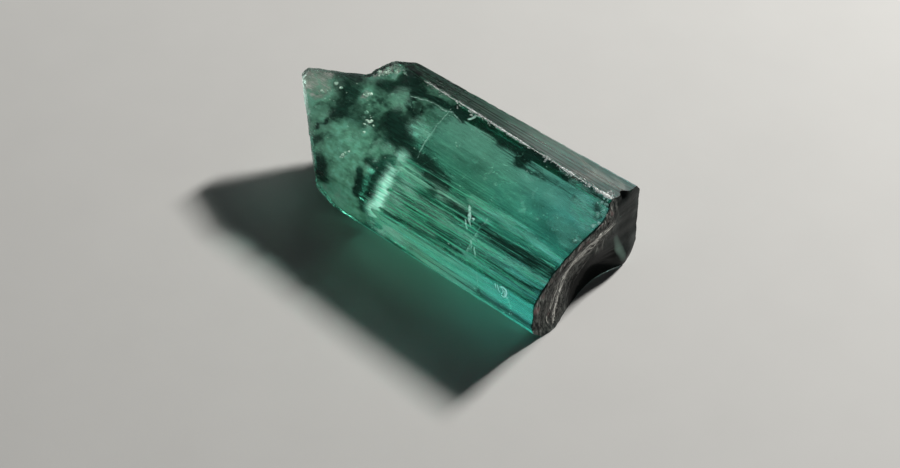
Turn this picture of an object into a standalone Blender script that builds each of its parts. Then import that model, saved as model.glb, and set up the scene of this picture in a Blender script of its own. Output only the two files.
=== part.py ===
"""Tourmaline crystal: one natural prism, tapered towards its point, lying on one of its prism faces.

The crystal's long axis (its c-axis) runs along X. The natural point is at -X and the broken end at +X.
+Z is up, and the flat prism face that the crystal rests on is at Z = 0.
The outline and the end faces are laid out on a drawing grid of one unit U, with
s along the axis (0 at the broken end, negative towards the point), u towards the front and w up.
"""

import math

import bpy
import bmesh
from mathutils import Vector

# ---------------------------------------------------------------- driving dimensions
U = 8.25e-5  # one drawing unit, in metres (0.0825 mm)
ORIGIN_S = -189.01  # the drawing point that becomes the frame's origin, on the resting face
ORIGIN_U = 44.00
LENGTH_S = 430.0  # rough length of the prism before its ends are cut
OVER_S = 30.0  # rough prism past the broken end

# The prism's corners seen along the axis, at the broken end: (u, w) and how many growth steps follow.
CORNERS = [
    ("ridge", 0.0, 98.0, 9),  # wide, low-sloped upper front face
    ("shoulder", 92.0, 66.0, 7),  # steeper front face
    ("brow", 121.0, 45.0, 4),  # near-upright face under it
    ("toe", 124.5, 9.0, 1),  # small undercut
    ("front_foot", 115.0, 0.0, 1),  # the flat face that it rests on
    ("back_foot", -16.0, 0.0, 2),  # undercut face at the back
    ("heel", -35.0, 20.0, 6),  # upright back face
    ("back_brow", -36.5, 88.0, 1),  # narrow bevel
    ("back_ridge", -31.0, 96.5, 4),  # narrow top face
]
STEP_DEPTH = 0.75  # deepest growth step in a face, in drawing units
HEIGHT_TAPER = 0.09 / 290.0  # share of its height that the prism loses per unit of s
RIDGE_DRIFT = 0.055  # the ridge moves back by this per unit of s, while the back ridge runs straight

# The point: each face keeps s >= a + b*u + c*w.
POINT_FACES = {
    "front_face": (-435.4, 1.178, -0.055),
    "back_face": (-337.5, -1.363, 0.045),
    "under_face": (-250.0, 0.020, -2.250),
    "tip_face": (-392.5, 0.030, 0.100),
}
# A broken notch between the tip and the back of the point: the space past both of these faces.
NOTCH_FACES = {
    "notch_tip_side": (-337.5, -2.200, 0.500),
    "notch_back_side": (-335.0, -0.400, 0.200),
}

# The broken end: a shell-like hollow with chips and a standing heel and toe, as bowls:
# (depth, u, w, half-width towards the back, half-width towards the front, half-width in w, steepness of the rim).
BREAK_BASE = 0.5
BREAK_BOWLS = [
    (8.0, 24.0, 4.0, 26.0, 40.0, 30.0, 1.0),
    (6.0, 62.0, 42.0, 40.0, 34.0, 24.0, 1.0),
    (5.5, 2.0, 101.0, 10.0, 9.0, 12.0, 1.0),
    (7.5, -14.0, 100.0, 4.5, 4.5, 7.0, 1.0),
    (-4.0, 28.0, 88.0, 18.0, 22.0, 16.0, 1.0),
    (-4.5, -16.0, 12.0, 16.0, 10.0, 16.0, 1.0),
    (-7.5, 103.0, -2.0, 26.0, 22.0, 12.0, 1.0),
]
RIPPLE_CENTRE = (-26.0, 128.0)  # where the break started, just outside the ridge
RIPPLE_HEIGHT = 0.7
RIPPLE_SPACING = 13.0


def row(s, u, w):
    """A drawing point in the row frame, in metres."""
    return Vector(((s - ORIGIN_S) * U, -(u - ORIGIN_U) * U, w * U))


def break_surface(u, w):
    """Where the broken end lies along the axis, above the section point (u, w)."""
    s = BREAK_BASE
    for depth, cu, cw, back, front, height, rim in BREAK_BOWLS:
        side = (u - cu) / (front if u > cu else back)
        rise = (w - cw) / height
        s -= depth * math.exp(-((side * side) ** rim) - rise * rise)
    reach = math.hypot(u - RIPPLE_CENTRE[0], (w - RIPPLE_CENTRE[1]) * 1.15)
    fade = math.exp(-(((reach - 110.0) / 70.0) ** 2))
    return s + RIPPLE_HEIGHT * fade * math.sin(2 * math.pi * reach / RIPPLE_SPACING)


def outline():
    """The section's corners with the growth steps between them, as (u, w), clockwise from the ridge."""
    points = []
    for i, (_, u0, w0, steps) in enumerate(CORNERS):
        _, u1, w1, _ = CORNERS[(i + 1) % len(CORNERS)]
        run = math.hypot(u1 - u0, w1 - w0)
        inward = ((w1 - w0) / run, -(u1 - u0) / run)
        points.append((u0, w0))
        for n in range(1, steps):
            share = (n + 0.28 * math.sin(2.7 * n + 1.9 * i)) / steps
            depth = STEP_DEPTH * (0.35 + 0.65 * abs(math.sin(1.7 * n * n + 0.9 * i)))
            points.append(
                (
                    u0 + (u1 - u0) * share + inward[0] * depth,
                    w0 + (w1 - w0) * share + inward[1] * depth,
                )
            )
    return points


def collection(name, hidden=False):
    made = bpy.data.collections.new(name)
    bpy.context.scene.collection.children.link(made)
    made.hide_render = hidden
    return made


def helper(obj, cutters):
    """Puts a cutting tool in the cutters' collection, shown as wire only."""
    for owner in list(obj.users_collection):
        owner.objects.unlink(obj)
    cutters.objects.link(obj)
    obj.hide_render = True
    obj.display_type = "WIRE"
    return obj


def mesh_of(curve_object, name, target):
    """The curve as a closed mesh, its caps welded."""
    graph = bpy.context.evaluated_depsgraph_get()
    mesh = bpy.data.meshes.new_from_object(curve_object.evaluated_get(graph))
    bm = bmesh.new()
    bm.from_mesh(mesh)
    bmesh.ops.remove_doubles(bm, verts=bm.verts, dist=1e-7)
    bm.to_mesh(mesh)
    bm.free()
    obj = bpy.data.objects.new(name, mesh)
    obj.matrix_world = curve_object.matrix_world
    target.objects.link(obj)
    bpy.data.objects.remove(curve_object)
    return obj


def rough_prism(target):
    """The untrimmed prism: its section drawn as a flat curve and extruded, then tapered towards the point."""
    curve = bpy.data.curves.new("section", "CURVE")
    curve.dimensions = "2D"
    curve.fill_mode = "BOTH"
    curve.extrude = LENGTH_S * U / 2
    spline = curve.splines.new("POLY")
    points = outline()
    spline.points.add(len(points) - 1)
    for point, (u, w) in zip(spline.points, points):
        point.co = (u * U, w * U, 0.0, 1.0)
    spline.use_cyclic_u = True
    drawn = bpy.data.objects.new("section", curve)
    target.objects.link(drawn)
    bpy.context.view_layer.update()
    prism = mesh_of(drawn, "tourmaline_crystal", target)

    bm = bmesh.new()
    bm.from_mesh(prism.data)
    half = LENGTH_S * U / 2
    for vert in bm.verts:
        u, w = vert.co.x / U, vert.co.y / U
        s = OVER_S if vert.co.z > 0 else OVER_S - LENGTH_S
        drop = 1.0 + HEIGHT_TAPER * s
        near = max(0.0, 1.0 - u / 92.0) if u > 0.0 else max(0.0, 1.0 + u / 31.0)
        lean = RIDGE_DRIFT * s * near * max(0.0, w / 98.0)
        vert.co = row(s, u + lean, w * drop)
    bmesh.ops.recalc_face_normals(bm, faces=bm.faces)
    bm.to_mesh(prism.data)
    bm.free()
    return prism


def half_space(name, a, b, c, cutters):
    """A block whose one side is the plane s = a + b*u + c*w, and which fills the side towards the point."""
    bpy.ops.mesh.primitive_cube_add(size=1.0)
    block = bpy.context.active_object
    block.name = name
    size = 700.0 * U
    normal = Vector((-1.0, -b, c)).normalized()  # u runs along -Y
    foot = row(a + b * 45.0 + c * 45.0, 45.0, 45.0)
    bm = bmesh.new()
    bm.from_mesh(block.data)
    turn = normal.to_track_quat("X", "Z").to_matrix()
    for vert in bm.verts:
        vert.co = turn @ (Vector((vert.co.x + 0.5, vert.co.y, vert.co.z)) * size)
    bm.to_mesh(block.data)
    bm.free()
    block.location = foot
    return helper(block, cutters)


def break_cutter(cutters):
    """A block over the broken end, whose inner side is the shell-like hollow."""
    bpy.ops.mesh.primitive_grid_add(x_subdivisions=34, y_subdivisions=24, size=1.0)
    block = bpy.context.active_object
    block.name = "break_cutter"
    bm = bmesh.new()
    bm.from_mesh(block.data)
    for vert in bm.verts:
        u, w = 44.0 + vert.co.x * 190.0, 48.0 + vert.co.y * 136.0
        vert.co = row(break_surface(u, w), u, w)
    back = bmesh.ops.extrude_face_region(bm, geom=list(bm.faces))
    for item in back["geom"]:
        if isinstance(item, bmesh.types.BMVert):
            item.co.x = row(80.0, 0.0, 0.0).x
    bmesh.ops.recalc_face_normals(bm, faces=bm.faces)
    bm.to_mesh(block.data)
    bm.free()
    return helper(block, cutters)


def crystal_material():
    material = bpy.data.materials.new("tourmaline")
    material.use_nodes = True
    shader = material.node_tree.nodes["Principled BSDF"]
    shader.inputs["Base Color"].default_value = (0.10, 0.46, 0.36, 1.0)
    shader.inputs["Roughness"].default_value = 0.06
    shader.inputs["Metallic"].default_value = 0.0
    shader.inputs["IOR"].default_value = 1.63
    shader.inputs["Transmission Weight"].default_value = 1.0
    material.diffuse_color = (0.10, 0.46, 0.36, 1.0)
    return material


def main():
    for obj in list(bpy.data.objects):
        bpy.data.objects.remove(obj)
    crystal = collection("tourmaline_crystal_parts")
    cutters = collection("cutters", hidden=True)

    prism = rough_prism(crystal)
    tools = [half_space(n, *abc, cutters) for n, abc in POINT_FACES.items()]
    notch, limit = [half_space(n, *abc, cutters) for n, abc in NOTCH_FACES.items()]
    both = notch.modifiers.new("both_sides", "BOOLEAN")
    both.operation = "INTERSECT"
    both.solver = "EXACT"
    both.object = limit
    tools.append(notch)
    tools.append(break_cutter(cutters))
    for tool in tools:
        cut = prism.modifiers.new(tool.name, "BOOLEAN")
        cut.operation = "DIFFERENCE"
        cut.solver = "EXACT"
        cut.object = tool
    prism.data.materials.append(crystal_material())


main()
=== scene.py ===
"""Looks of the tourmaline crystal: the finely grooved clear body, what is sealed in it, and a plain studio."""

import math

import bpy
import numpy as np
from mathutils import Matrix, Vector


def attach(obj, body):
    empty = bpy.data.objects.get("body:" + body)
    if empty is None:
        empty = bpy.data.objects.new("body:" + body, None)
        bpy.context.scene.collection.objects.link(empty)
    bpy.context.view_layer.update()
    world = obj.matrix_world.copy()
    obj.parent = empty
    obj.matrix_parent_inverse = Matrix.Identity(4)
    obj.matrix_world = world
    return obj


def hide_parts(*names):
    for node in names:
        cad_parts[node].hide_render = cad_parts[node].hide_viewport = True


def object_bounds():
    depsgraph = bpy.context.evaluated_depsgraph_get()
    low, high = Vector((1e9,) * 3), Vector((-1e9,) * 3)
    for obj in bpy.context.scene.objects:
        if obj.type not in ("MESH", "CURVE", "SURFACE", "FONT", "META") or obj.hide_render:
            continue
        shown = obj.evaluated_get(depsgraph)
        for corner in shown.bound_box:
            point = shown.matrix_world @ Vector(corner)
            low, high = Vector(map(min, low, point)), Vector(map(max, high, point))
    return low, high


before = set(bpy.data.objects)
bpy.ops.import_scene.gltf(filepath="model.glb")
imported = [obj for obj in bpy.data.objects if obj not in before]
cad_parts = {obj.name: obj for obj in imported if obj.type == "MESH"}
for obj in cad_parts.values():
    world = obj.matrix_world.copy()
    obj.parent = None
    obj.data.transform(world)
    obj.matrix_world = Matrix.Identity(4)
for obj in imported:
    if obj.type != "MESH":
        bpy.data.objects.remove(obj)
CAD_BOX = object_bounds()

# ---------------------------------------------------------------- drawing grid
# s runs along the crystal (0 at the broken end, negative towards the point), u towards the front, w up.
U = 8.25e-5  # one drawing unit in metres
ORIGIN_S = -189.01
ORIGIN_U = 44.00
S_MAX = 7.12
S_MIN = -385.3

rng = np.random.RandomState(41)


def to_row(s, u, w):
    """Drawing points as row-frame points in metres, as an (n, 3) array."""
    s, u, w = np.broadcast_arrays(*(np.asarray(v, float) for v in (s, u, w)))
    return np.stack([(s - ORIGIN_S) * U, -(u - ORIGIN_U) * U, w * U], -1)


# ---------------------------------------------------------------- the crystal's shape
CORNERS = [
    ("ridge", 0.0, 98.0),
    ("shoulder", 92.0, 66.0),
    ("brow", 121.0, 45.0),
    ("toe", 124.5, 9.0),
    ("front_foot", 115.0, 0.0),
    ("back_foot", -16.0, 0.0),
    ("heel", -35.0, 20.0),
    ("back_brow", -36.5, 88.0),
    ("back_ridge", -31.0, 96.5),
]
# Per face: columns across it, depth of its grooves, and their width (drawing units).
FACES = {
    "ridge": (104, 0.75, 2.4),
    "shoulder": (60, 0.95, 1.9),
    "brow": (40, 0.30, 2.6),
    "toe": (8, 0.15, 3.0),
    "front_foot": (80, 0.0, 8.0),
    "back_foot": (24, 0.7, 3.0),
    "heel": (48, 0.9, 2.6),
    "back_brow": (8, 0.2, 3.0),
    "back_ridge": (42, 0.42, 1.5),
}
HEIGHT_TAPER = 0.09 / 290.0
RIDGE_DRIFT = 0.055
POINT_FACES = [(-435.4, 1.178, -0.055), (-337.5, -1.363, 0.045), (-250.0, 0.020, -2.250), (-392.5, 0.030, 0.100)]
NOTCH_FACES = [(-337.5, -2.200, 0.500), (-335.0, -0.400, 0.200)]
BREAK_BASE = 0.5
BREAK_BOWLS = [
    (8.0, 24.0, 4.0, 26.0, 40.0, 30.0, 1.0),
    (6.0, 62.0, 42.0, 40.0, 34.0, 24.0, 1.0),
    (5.5, 2.0, 101.0, 10.0, 9.0, 12.0, 1.0),
    (7.5, -14.0, 100.0, 4.5, 4.5, 7.0, 1.0),
    (-4.0, 28.0, 88.0, 18.0, 22.0, 16.0, 1.0),
    (-4.5, -16.0, 12.0, 16.0, 10.0, 16.0, 1.0),
    (-7.5, 103.0, -2.0, 26.0, 22.0, 12.0, 1.0),
]
ROWS = 150
RINGS = 30


class Noise:
    """Smooth value noise on a repeating lattice, the same on every run."""

    def __init__(self, seed, dims):
        self.grid = np.random.RandomState(seed).rand(*([64] * dims)) * 2 - 1
        self.dims = dims

    def __call__(self, *coords):
        coords = np.broadcast_arrays(*(np.asarray(c, float) for c in coords))
        low = [np.floor(c).astype(int) for c in coords]
        part = [c - f for c, f in zip(coords, low)]
        part = [p * p * (3 - 2 * p) for p in part]
        total = 0.0
        for corner in range(2**self.dims):
            weight, index = 1.0, []
            for d in range(self.dims):
                bit = (corner >> d) & 1
                weight = weight * (part[d] if bit else 1 - part[d])
                index.append((low[d] + bit) % 64)
            total = total + weight * self.grid[tuple(index)]
        return total


noise1, noise2, noise3 = Noise(5, 1), Noise(6, 2), Noise(7, 3)


def fractal(noise, *coords, octaves=4):
    total, gain, scale = 0.0, 0.5, 1.0
    for _ in range(octaves):
        total = total + gain * noise(*(np.asarray(c, float) * scale + 17.3 * scale for c in coords))
        gain, scale = gain * 0.5, scale * 2.03
    return total


def taper(s, u, w):
    """Where a point of the broken end's section lies at s."""
    drop = 1.0 + HEIGHT_TAPER * s
    near = np.where(u > 0, np.clip(1 - u / 92.0, 0, 1), np.clip(1 + u / 31.0, 0, 1))
    lean = RIDGE_DRIFT * s * near * np.clip(w / 98.0, 0, 1)
    return u + lean, w * drop


def break_surface(u, w):
    """The shell-like broken end: bowls, arcs round the start of the break, and fine tearing."""
    s = np.full(np.shape(u), BREAK_BASE)
    for depth, cu, cw, back, front, height, rim in BREAK_BOWLS:
        side = (u - cu) / np.where(u > cu, front, back)
        rise = (w - cw) / height
        s = s - depth * np.exp(-((side * side) ** rim) - rise * rise)
    reach = np.hypot(u + 26.0, (w - 128.0) * 1.15)
    angle = np.arctan2(w - 128.0, u + 26.0)
    fade = np.exp(-(((reach - 110.0) / 70.0) ** 2))
    s = s + 0.18 * fade * np.sin(2 * math.pi * reach / 21.0)
    wobble = reach + 5.0 * noise2(u / 14.0, w / 14.0)
    s = s + 0.22 * np.sin(2 * math.pi * wobble / 6.1) * np.clip(noise2(u / 23.0 + 9, w / 23.0) + 0.1, 0, 1)
    tears = fractal(noise2, angle * 22.0, reach / 34.0, octaves=3)
    front = np.clip((0.62 * u + 0.78 * w - 42.0) / 18.0, 0, 1) * np.clip((u + 6.0) / 20.0, 0, 1)
    s = s - 2.6 * np.clip(tears, 0, 1) * front
    s = s - (0.12 + 1.0 * front) * np.abs(fractal(noise2, u / 6.0, w / 6.0, octaves=3))
    return np.minimum(s, S_MAX)


def point_surface(u, w):
    """The natural point: its faces, the notch between tip and back, and uneven, etched growth."""
    s = np.max([a + b * u + c * w for a, b, c in POINT_FACES], axis=0)
    notch = np.min([a + b * u + c * w for a, b, c in NOTCH_FACES], axis=0)
    s = np.maximum(s, notch)
    hills = np.abs(fractal(noise2, u / 17.0 + 3, w / 17.0 + 5, octaves=3))
    cells = np.abs(((u + 0.7 * w) / 9.0 + noise2(u / 20.0, w / 20.0)) % 1.0 - 0.5) * 2
    cells2 = np.abs(((u - 1.2 * w) / 12.0 + noise2(w / 18.0, u / 18.0)) % 1.0 - 0.5) * 2
    rough = 4.0 * hills + 2.2 * cells * cells2 + 0.9 * np.abs(fractal(noise2, u / 3.0, w / 3.0, octaves=2))
    return np.maximum(s + rough, S_MIN)


def groove_profile(length, depth, width, seed):
    """Break positions along a face and, at each, how deep the groove is: fine steps as the prism grew."""
    local = np.random.RandomState(seed)
    at, where = [0.0], 0.0
    while where < length - 0.6 * width:
        where += width * (0.35 + 1.3 * local.rand() ** 1.5)
        at.append(min(where, length - 0.3))
    at.append(length)
    at = np.array(at)
    deep = depth * local.rand(len(at)) ** 1.6
    deep[0] = deep[-1] = 0.0
    return at, deep, local.rand(len(at)) * 50


def section():
    """Columns round the prism: corner-aligned (u, w), inward normal, face and place on the face."""
    cols = []
    for i, (name, u0, w0) in enumerate(CORNERS):
        _, u1, w1 = CORNERS[(i + 1) % len(CORNERS)]
        count, depth, width = FACES[name]
        run = math.hypot(u1 - u0, w1 - w0)
        inward = ((w1 - w0) / run, -(u1 - u0) / run)
        for n in range(count):
            cols.append((u0 + (u1 - u0) * n / count, w0 + (w1 - w0) * n / count, *inward, i, run * n / count))
    return np.array(cols)


def build_body():
    cols = section()
    count = len(cols)
    u0, w0, nu, nw, face, place = cols.T
    face = face.astype(int)
    # corners: normal is the mean of both faces, with a little wear
    corner = place == 0
    bi_u = np.where(corner, (nu + np.roll(nu, 1)) / 2, nu)
    bi_w = np.where(corner, (nw + np.roll(nw, 1)) / 2, nw)
    wear = np.where(corner, np.where((face == 1) | (face == 2), 0.10, 0.35), 0.0)

    # Rows from the point (t=0) to the break (t=1), closer together near both ends.
    t = np.linspace(0, 1, ROWS + 1)
    t = t - 0.10 * np.sin(2 * math.pi * t) * 0.6

    start = np.full(count, -250.0)
    for _ in range(60):
        uu, ww = taper(start, u0, w0)
        start = 0.6 * start + 0.4 * point_surface(uu, ww)
    uu, ww = taper(0.0 * u0, u0, w0)
    end = break_surface(u0, w0)
    s = start[None, :] + t[:, None] * (end - start)[None, :]

    depth = np.zeros_like(s)
    for i, (name, _, _) in enumerate(CORNERS):
        pick = np.where(face == i)[0]
        _, amount, width = FACES[name]
        if amount == 0:
            continue
        run = place[pick].max() + (place[pick][1] - place[pick][0])
        for layer, (a, wd) in enumerate([(amount, width * 2.6), (amount * 0.55, width)]):
            at, deep, phase = groove_profile(run, a, wd, 100 + 10 * i + layer)
            # each groove fades in and out along the crystal
            along = s[:, pick] / 170.0
            k = np.searchsorted(at, place[pick], side="right") - 1
            k = np.clip(k, 0, len(at) - 2)
            f = (place[pick] - at[k]) / np.maximum(at[k + 1] - at[k], 1e-6)
            left = deep[k] * (0.55 + 0.45 * noise1(along * 1.0 + phase[k]))
            right = deep[k + 1] * (0.55 + 0.45 * noise1(along * 1.0 + phase[k + 1]))
            depth[:, pick] += left * (1 - f) + right * f
            edge = np.minimum(place[pick], run - place[pick])
            depth[:, pick] *= np.clip(edge / 3.5, 0.0, 1.0) if run > 20 else 1.0
            if name == "ridge":
                depth[:, pick] *= np.clip((place[pick] / run - 0.30) / 0.45, 0.12, 1.0)
            if i < 3:
                depth[:, pick] *= np.clip((s[:, pick] - start[pick]) / 120.0, 0.25, 1.0)
    depth = np.maximum(depth, 0.0) + wear[None, :] * (0.6 + 0.8 * np.abs(noise2(s / 9.0, face[None, :] * 3.1)))
    # chips along the ridge and the other prism edges
    for i, scale in ((0, 1.0), (1, 0.35), (2, 0.35), (8, 0.5)):
        here = np.where(corner & (face == i))[0][0]
        for step, share in ((0, 1.0), (1, 0.75), (-1, 0.75), (2, 0.35), (-2, 0.35)):
            j = (here + step) % count
            bite = np.clip(fractal(noise1, s[:, j] / 7.0 + 31 * i, octaves=3) - 0.06, 0, 1)
            depth[:, j] += 3.4 * scale * share * bite

    pu, pw = taper(s, (u0[None, :] + bi_u[None, :] * depth), (w0[None, :] + bi_w[None, :] * depth))
    pw = np.maximum(pw, 0.0)
    verts = [to_row(s, pu, pw).reshape(-1, 3)]
    faces = []
    rows = ROWS + 1
    base = np.arange(rows * count).reshape(rows, count)
    nxt = np.roll(base, -1, axis=1)
    faces.append(np.stack([base[:-1], base[1:], nxt[1:], nxt[:-1]], -1).reshape(-1, 4))

    # End caps: rings closing in on a centre.
    total = rows * count
    tris = []
    for row, surface, centre, flip in ((0, point_surface, (44.0, 50.0), False), (ROWS, break_surface, (44.0, 46.0), True)):
        edge_u, edge_w, edge_s = pu[row], pw[row], s[row]
        ring_prev = base[row]
        start_u, start_w = edge_u, edge_w
        for n in range(1, RINGS):
            share = 1 - (n / RINGS) ** 0.9
            ru = centre[0] + (start_u - centre[0]) * share
            rw = centre[1] + (start_w - centre[1]) * share
            rs = surface(ru, rw)
            # meet the rim without a step
            blend = np.clip(1 - n / 3.0, 0, 1)
            rim = surface(start_u, start_w)
            rs = rs + (edge_s - rim) * blend
            verts.append(to_row(rs, ru, rw))
            ring = total + np.arange(count)
            total += count
            a, b, c, d = ring_prev, np.roll(ring_prev, -1), np.roll(ring, -1), ring
            quad = np.stack([a, b, c, d], -1) if not flip else np.stack([a, d, c, b], -1)
            faces.append(quad)
            ring_prev = ring
        verts.append(to_row(surface(np.array([centre[0]]), np.array([centre[1]])), centre[0], centre[1]))
        hub = total
        total += 1
        a, b = ring_prev, np.roll(ring_prev, -1)
        tri = np.stack([a, b, np.full(count, hub)], -1) if not flip else np.stack([b, a, np.full(count, hub)], -1)
        tris.append(tri)
    points = np.concatenate([v.reshape(-1, 3) for v in verts])
    frost, shade = np.zeros(total), np.zeros(total)
    wall = rows * count
    from_tip = s - start[None, :]
    from_break = end[None, :] - s
    patch = fractal(noise2, s / 26.0, place[None, :] / 16.0 + face[None, :] * 7, octaves=3)
    f = np.clip(1.0 - from_tip / (55.0 + 90.0 * patch), 0, 1) * 0.34
    top = (face == 8) | ((face == 7) & (place > 0))
    f = np.maximum(f, np.where(top[None, :], np.interp(s, [-270, -170, -60], [0.26, 0.42, 0.95]), 0.0))
    chip = np.clip(depth - 0.9, 0, 1) * np.isin(face, [0, 8])[None, :] * (place < 4)[None, :]
    f = np.maximum(f, 0.7 * chip)
    frost[:wall] = f.reshape(-1)
    d = np.where(top[None, :], np.interp(s, [-270, -190, -40], [0.85, 0.74, 0.42]) + 0.5 * noise1(place[None, :] / 0.9 + 11) * np.ones_like(s), 0.0)
    # the underside carries painted shade in clouds, drawn out along the crystal: it darkens the floor seen through it,
    # which lies in shadow
    under = face[None, :] == 4
    under_painted_shade = fractal(noise2, s / 42.0, pu / 17.0, octaves=4) + 0.6 * fractal(noise2, s / 21.0 + 4, pu / 4.0, octaves=3)
    d = np.where(under, np.clip(0.31 + 0.58 * under_painted_shade, 0.02, 0.90), d)
    d = np.maximum(d, np.clip(1 - from_tip / (46.0 + 60.0 * patch), 0, 1) * 0.55)
    shade[:wall] = np.clip(d, 0, 1).reshape(-1)
    cap = (total - wall) // 2
    # the point is frosted, palest at its very tip; the break is clear with a dull grain
    there = points[wall : wall + cap] / U
    tip = np.clip((-there[:, 0] - 150.0) / 30.0, 0, 1)
    cloud = fractal(noise2, there[:, 1] / 15.0, there[:, 2] / 15.0, octaves=3)
    frost[wall : wall + cap] = np.clip(0.42 + 0.3 * tip + 0.25 * cloud, 0.1, 0.8)
    shade[wall : wall + cap] = np.clip(0.85 - 0.35 * tip + 0.35 * cloud, 0.2, 1.0)
    there = points[wall + cap :] / U
    frost[wall + cap :] = 0.16 + 0.14 * np.abs(fractal(noise2, there[:, 1] / 9.0, there[:, 2] / 9.0, octaves=3))
    shade[wall + cap :] = 0.2
    # how much lamp light a face lets through: on the back faces less near the top, where the real crystal
    # bends it down, and none near the break
    let = np.zeros(total)
    back = np.interp(w0, [20, 34, 60, 80], [0.92, 0.80, 0.34, 0.03])[None, :] * np.clip(from_break / 12.0, 0, 1)
    let[:wall] = np.where((face >= 5)[None, :], back, np.where((face == 4)[None, :], 0.9, 0.85)).reshape(-1)
    let[:wall] *= np.where((face >= 4)[None, :], np.interp(s, [-330, -225], [0.22, 1.0]), 1.0).reshape(-1)
    let[wall : wall + cap] = 0.20
    polygons = [tuple(f) for block in faces for f in block.tolist()] + [tuple(f) for block in tris for f in block.tolist()]
    mesh = bpy.data.meshes.new("crystal_body")
    mesh.from_pydata(points.tolist(), [], polygons)
    mesh.update()
    mesh.validate()
    start_of_break = wall + cap
    slots = [int(min(f.vertices) >= start_of_break or max(f.vertices) >= start_of_break) for f in mesh.polygons]
    mesh.polygons.foreach_set("material_index", slots)
    for name, values in (("frost", frost), ("shade", shade), ("let", let)):
        layer = mesh.attributes.new(name, "FLOAT", "POINT")
        layer.data.foreach_set("value", values.astype(np.float32))
    obj = bpy.data.objects.new("crystal_body", mesh)
    bpy.context.scene.collection.objects.link(obj)
    import bmesh

    bm = bmesh.new()
    bm.from_mesh(mesh)
    bmesh.ops.recalc_face_normals(bm, faces=bm.faces)
    if bm.calc_volume(signed=True) < 0:
        bmesh.ops.reverse_faces(bm, faces=bm.faces)
    bm.to_mesh(mesh)
    bm.free()
    mesh.shade_smooth()
    mesh.set_sharp_from_angle(angle=math.radians(24))
    return obj


# ---------------------------------------------------------------- what is sealed in the crystal
# q is the distance across the front faces from the ridge: shoulder 97.4, brow 133.2, toe 169.4; the top strip is below 0.
# A mark runs from (s, q) to (s, q), with a half-width and a strength.
# Dark marks: the sheets laid under them are painted shade, standing in for the dark reflections inside the crystal;
# the mark at the end of the top strip paints the shade in the nick there.
DARK_MARKS = [
    (-261, 48, -240, 60, 8.5, 0.80), (-248, 50, -220, 64, 7.0, 0.65), (-247, 96, -226, 95, 4.7, 0.55),
    (-247, 111, -237, 132, 4.6, 0.75), (-230, 102, -222, 127, 5.2, 0.7), (-299, 122, -283, 139, 8.0, 0.6),
    (-319, 75, -311, 58, 2.9, 0.9), (-322, 93, -318, 82, 2.3, 0.6), (-216, 65, -170, 74, 4.7, 0.85),
    (-201, 66, -161, 75, 5.8, 1.0), (-185, 78, -160, 80, 5.8, 1.0), (-210, 51, -188, 64, 4.7, 0.15),
    (-136, 90, -111, 95, 4.7, 0.7), (-168, 90, -126, 90, 4.7, 0.45), (-99, 94, -62, 95, 2.3, 1.0),
    (-90, 99, -58, 99, 5.8, 0.6), (-56, 95, -14, 91, 2.3, 1.0), (-50, 100, -4, 99, 7.0, 0.75),
    (-114, 17, -111, 5, 7.0, 1.0), (-112, 4, -74, 2, 2.9, 1.0), (-76, 3, -60, 1, 2.3, 1.0),
    (-61, 7, -46, 3, 2.9, 1.0), (-146, 12, -120, 10, 4.7, 0.6), (-176, 9, -147, 11, 2.3, 0.4),
    (-110, 21, -76, 21, 1.4, 0.6), (-92, 19, -62, 15, 1.8, 0.35), (-82, 23, -34, 10, 2.3, 0.15),
    (-38, 4, -25, 4, 3.5, 0.7), (-30, 5, -10, 6, 2.9, 0.7), (-12, 6, 0, 9, 2.3, 1.0),
    (-15, 13, -6, 24, 4.2, 0.6), (-40, 18, -38, 21, 2.6, 0.5), (-21, 42, -14, 50, 4.5, 0.15),
    (-6, 55, -6, 66, 5.0, 0.25), (-30, 30, -10, 34, 5.0, 0.12), (-264, 18, -242, 11, 2.3, 0.9), (-240, 11, -219, 9, 2.9, 0.9),
    (-212, 8, -198, 11, 4.7, 0.8), (-260, 24, -246, 29, 4.7, 0.85), (-274, 14, -256, 11, 4.7, 0.6),
    (-284, 1, -272, 8, 7.0, 0.85), (-302, 26, -278, 16, 4.7, 0.5), (-334, 45, -318, 49, 10.5, 0.6),
    (-310, 66, -272, 60, 9.4, 0.35), (-199, 134, -156, 131, 1.8, 0.6), (-156, 131, -96, 127, 1.8, 0.6),
    (-188, 152, -147, 156, 2.3, 0.35), (-173, 107, -142, 107, 0.8, 0.9), (-6, -16, -2, -20, 3.4, 1.0),
    (-372, 80, -352, 96, 4.0, 0.4), (-172, 100, -118, 101.5, 2.8, 0.5), (-150, 117, -108, 118, 2.2, 0.45), (-350, 38, -330, 30, 6.0, 0.5), (-330, 112, -318, 122, 4.0, 0.5),
]
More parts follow.
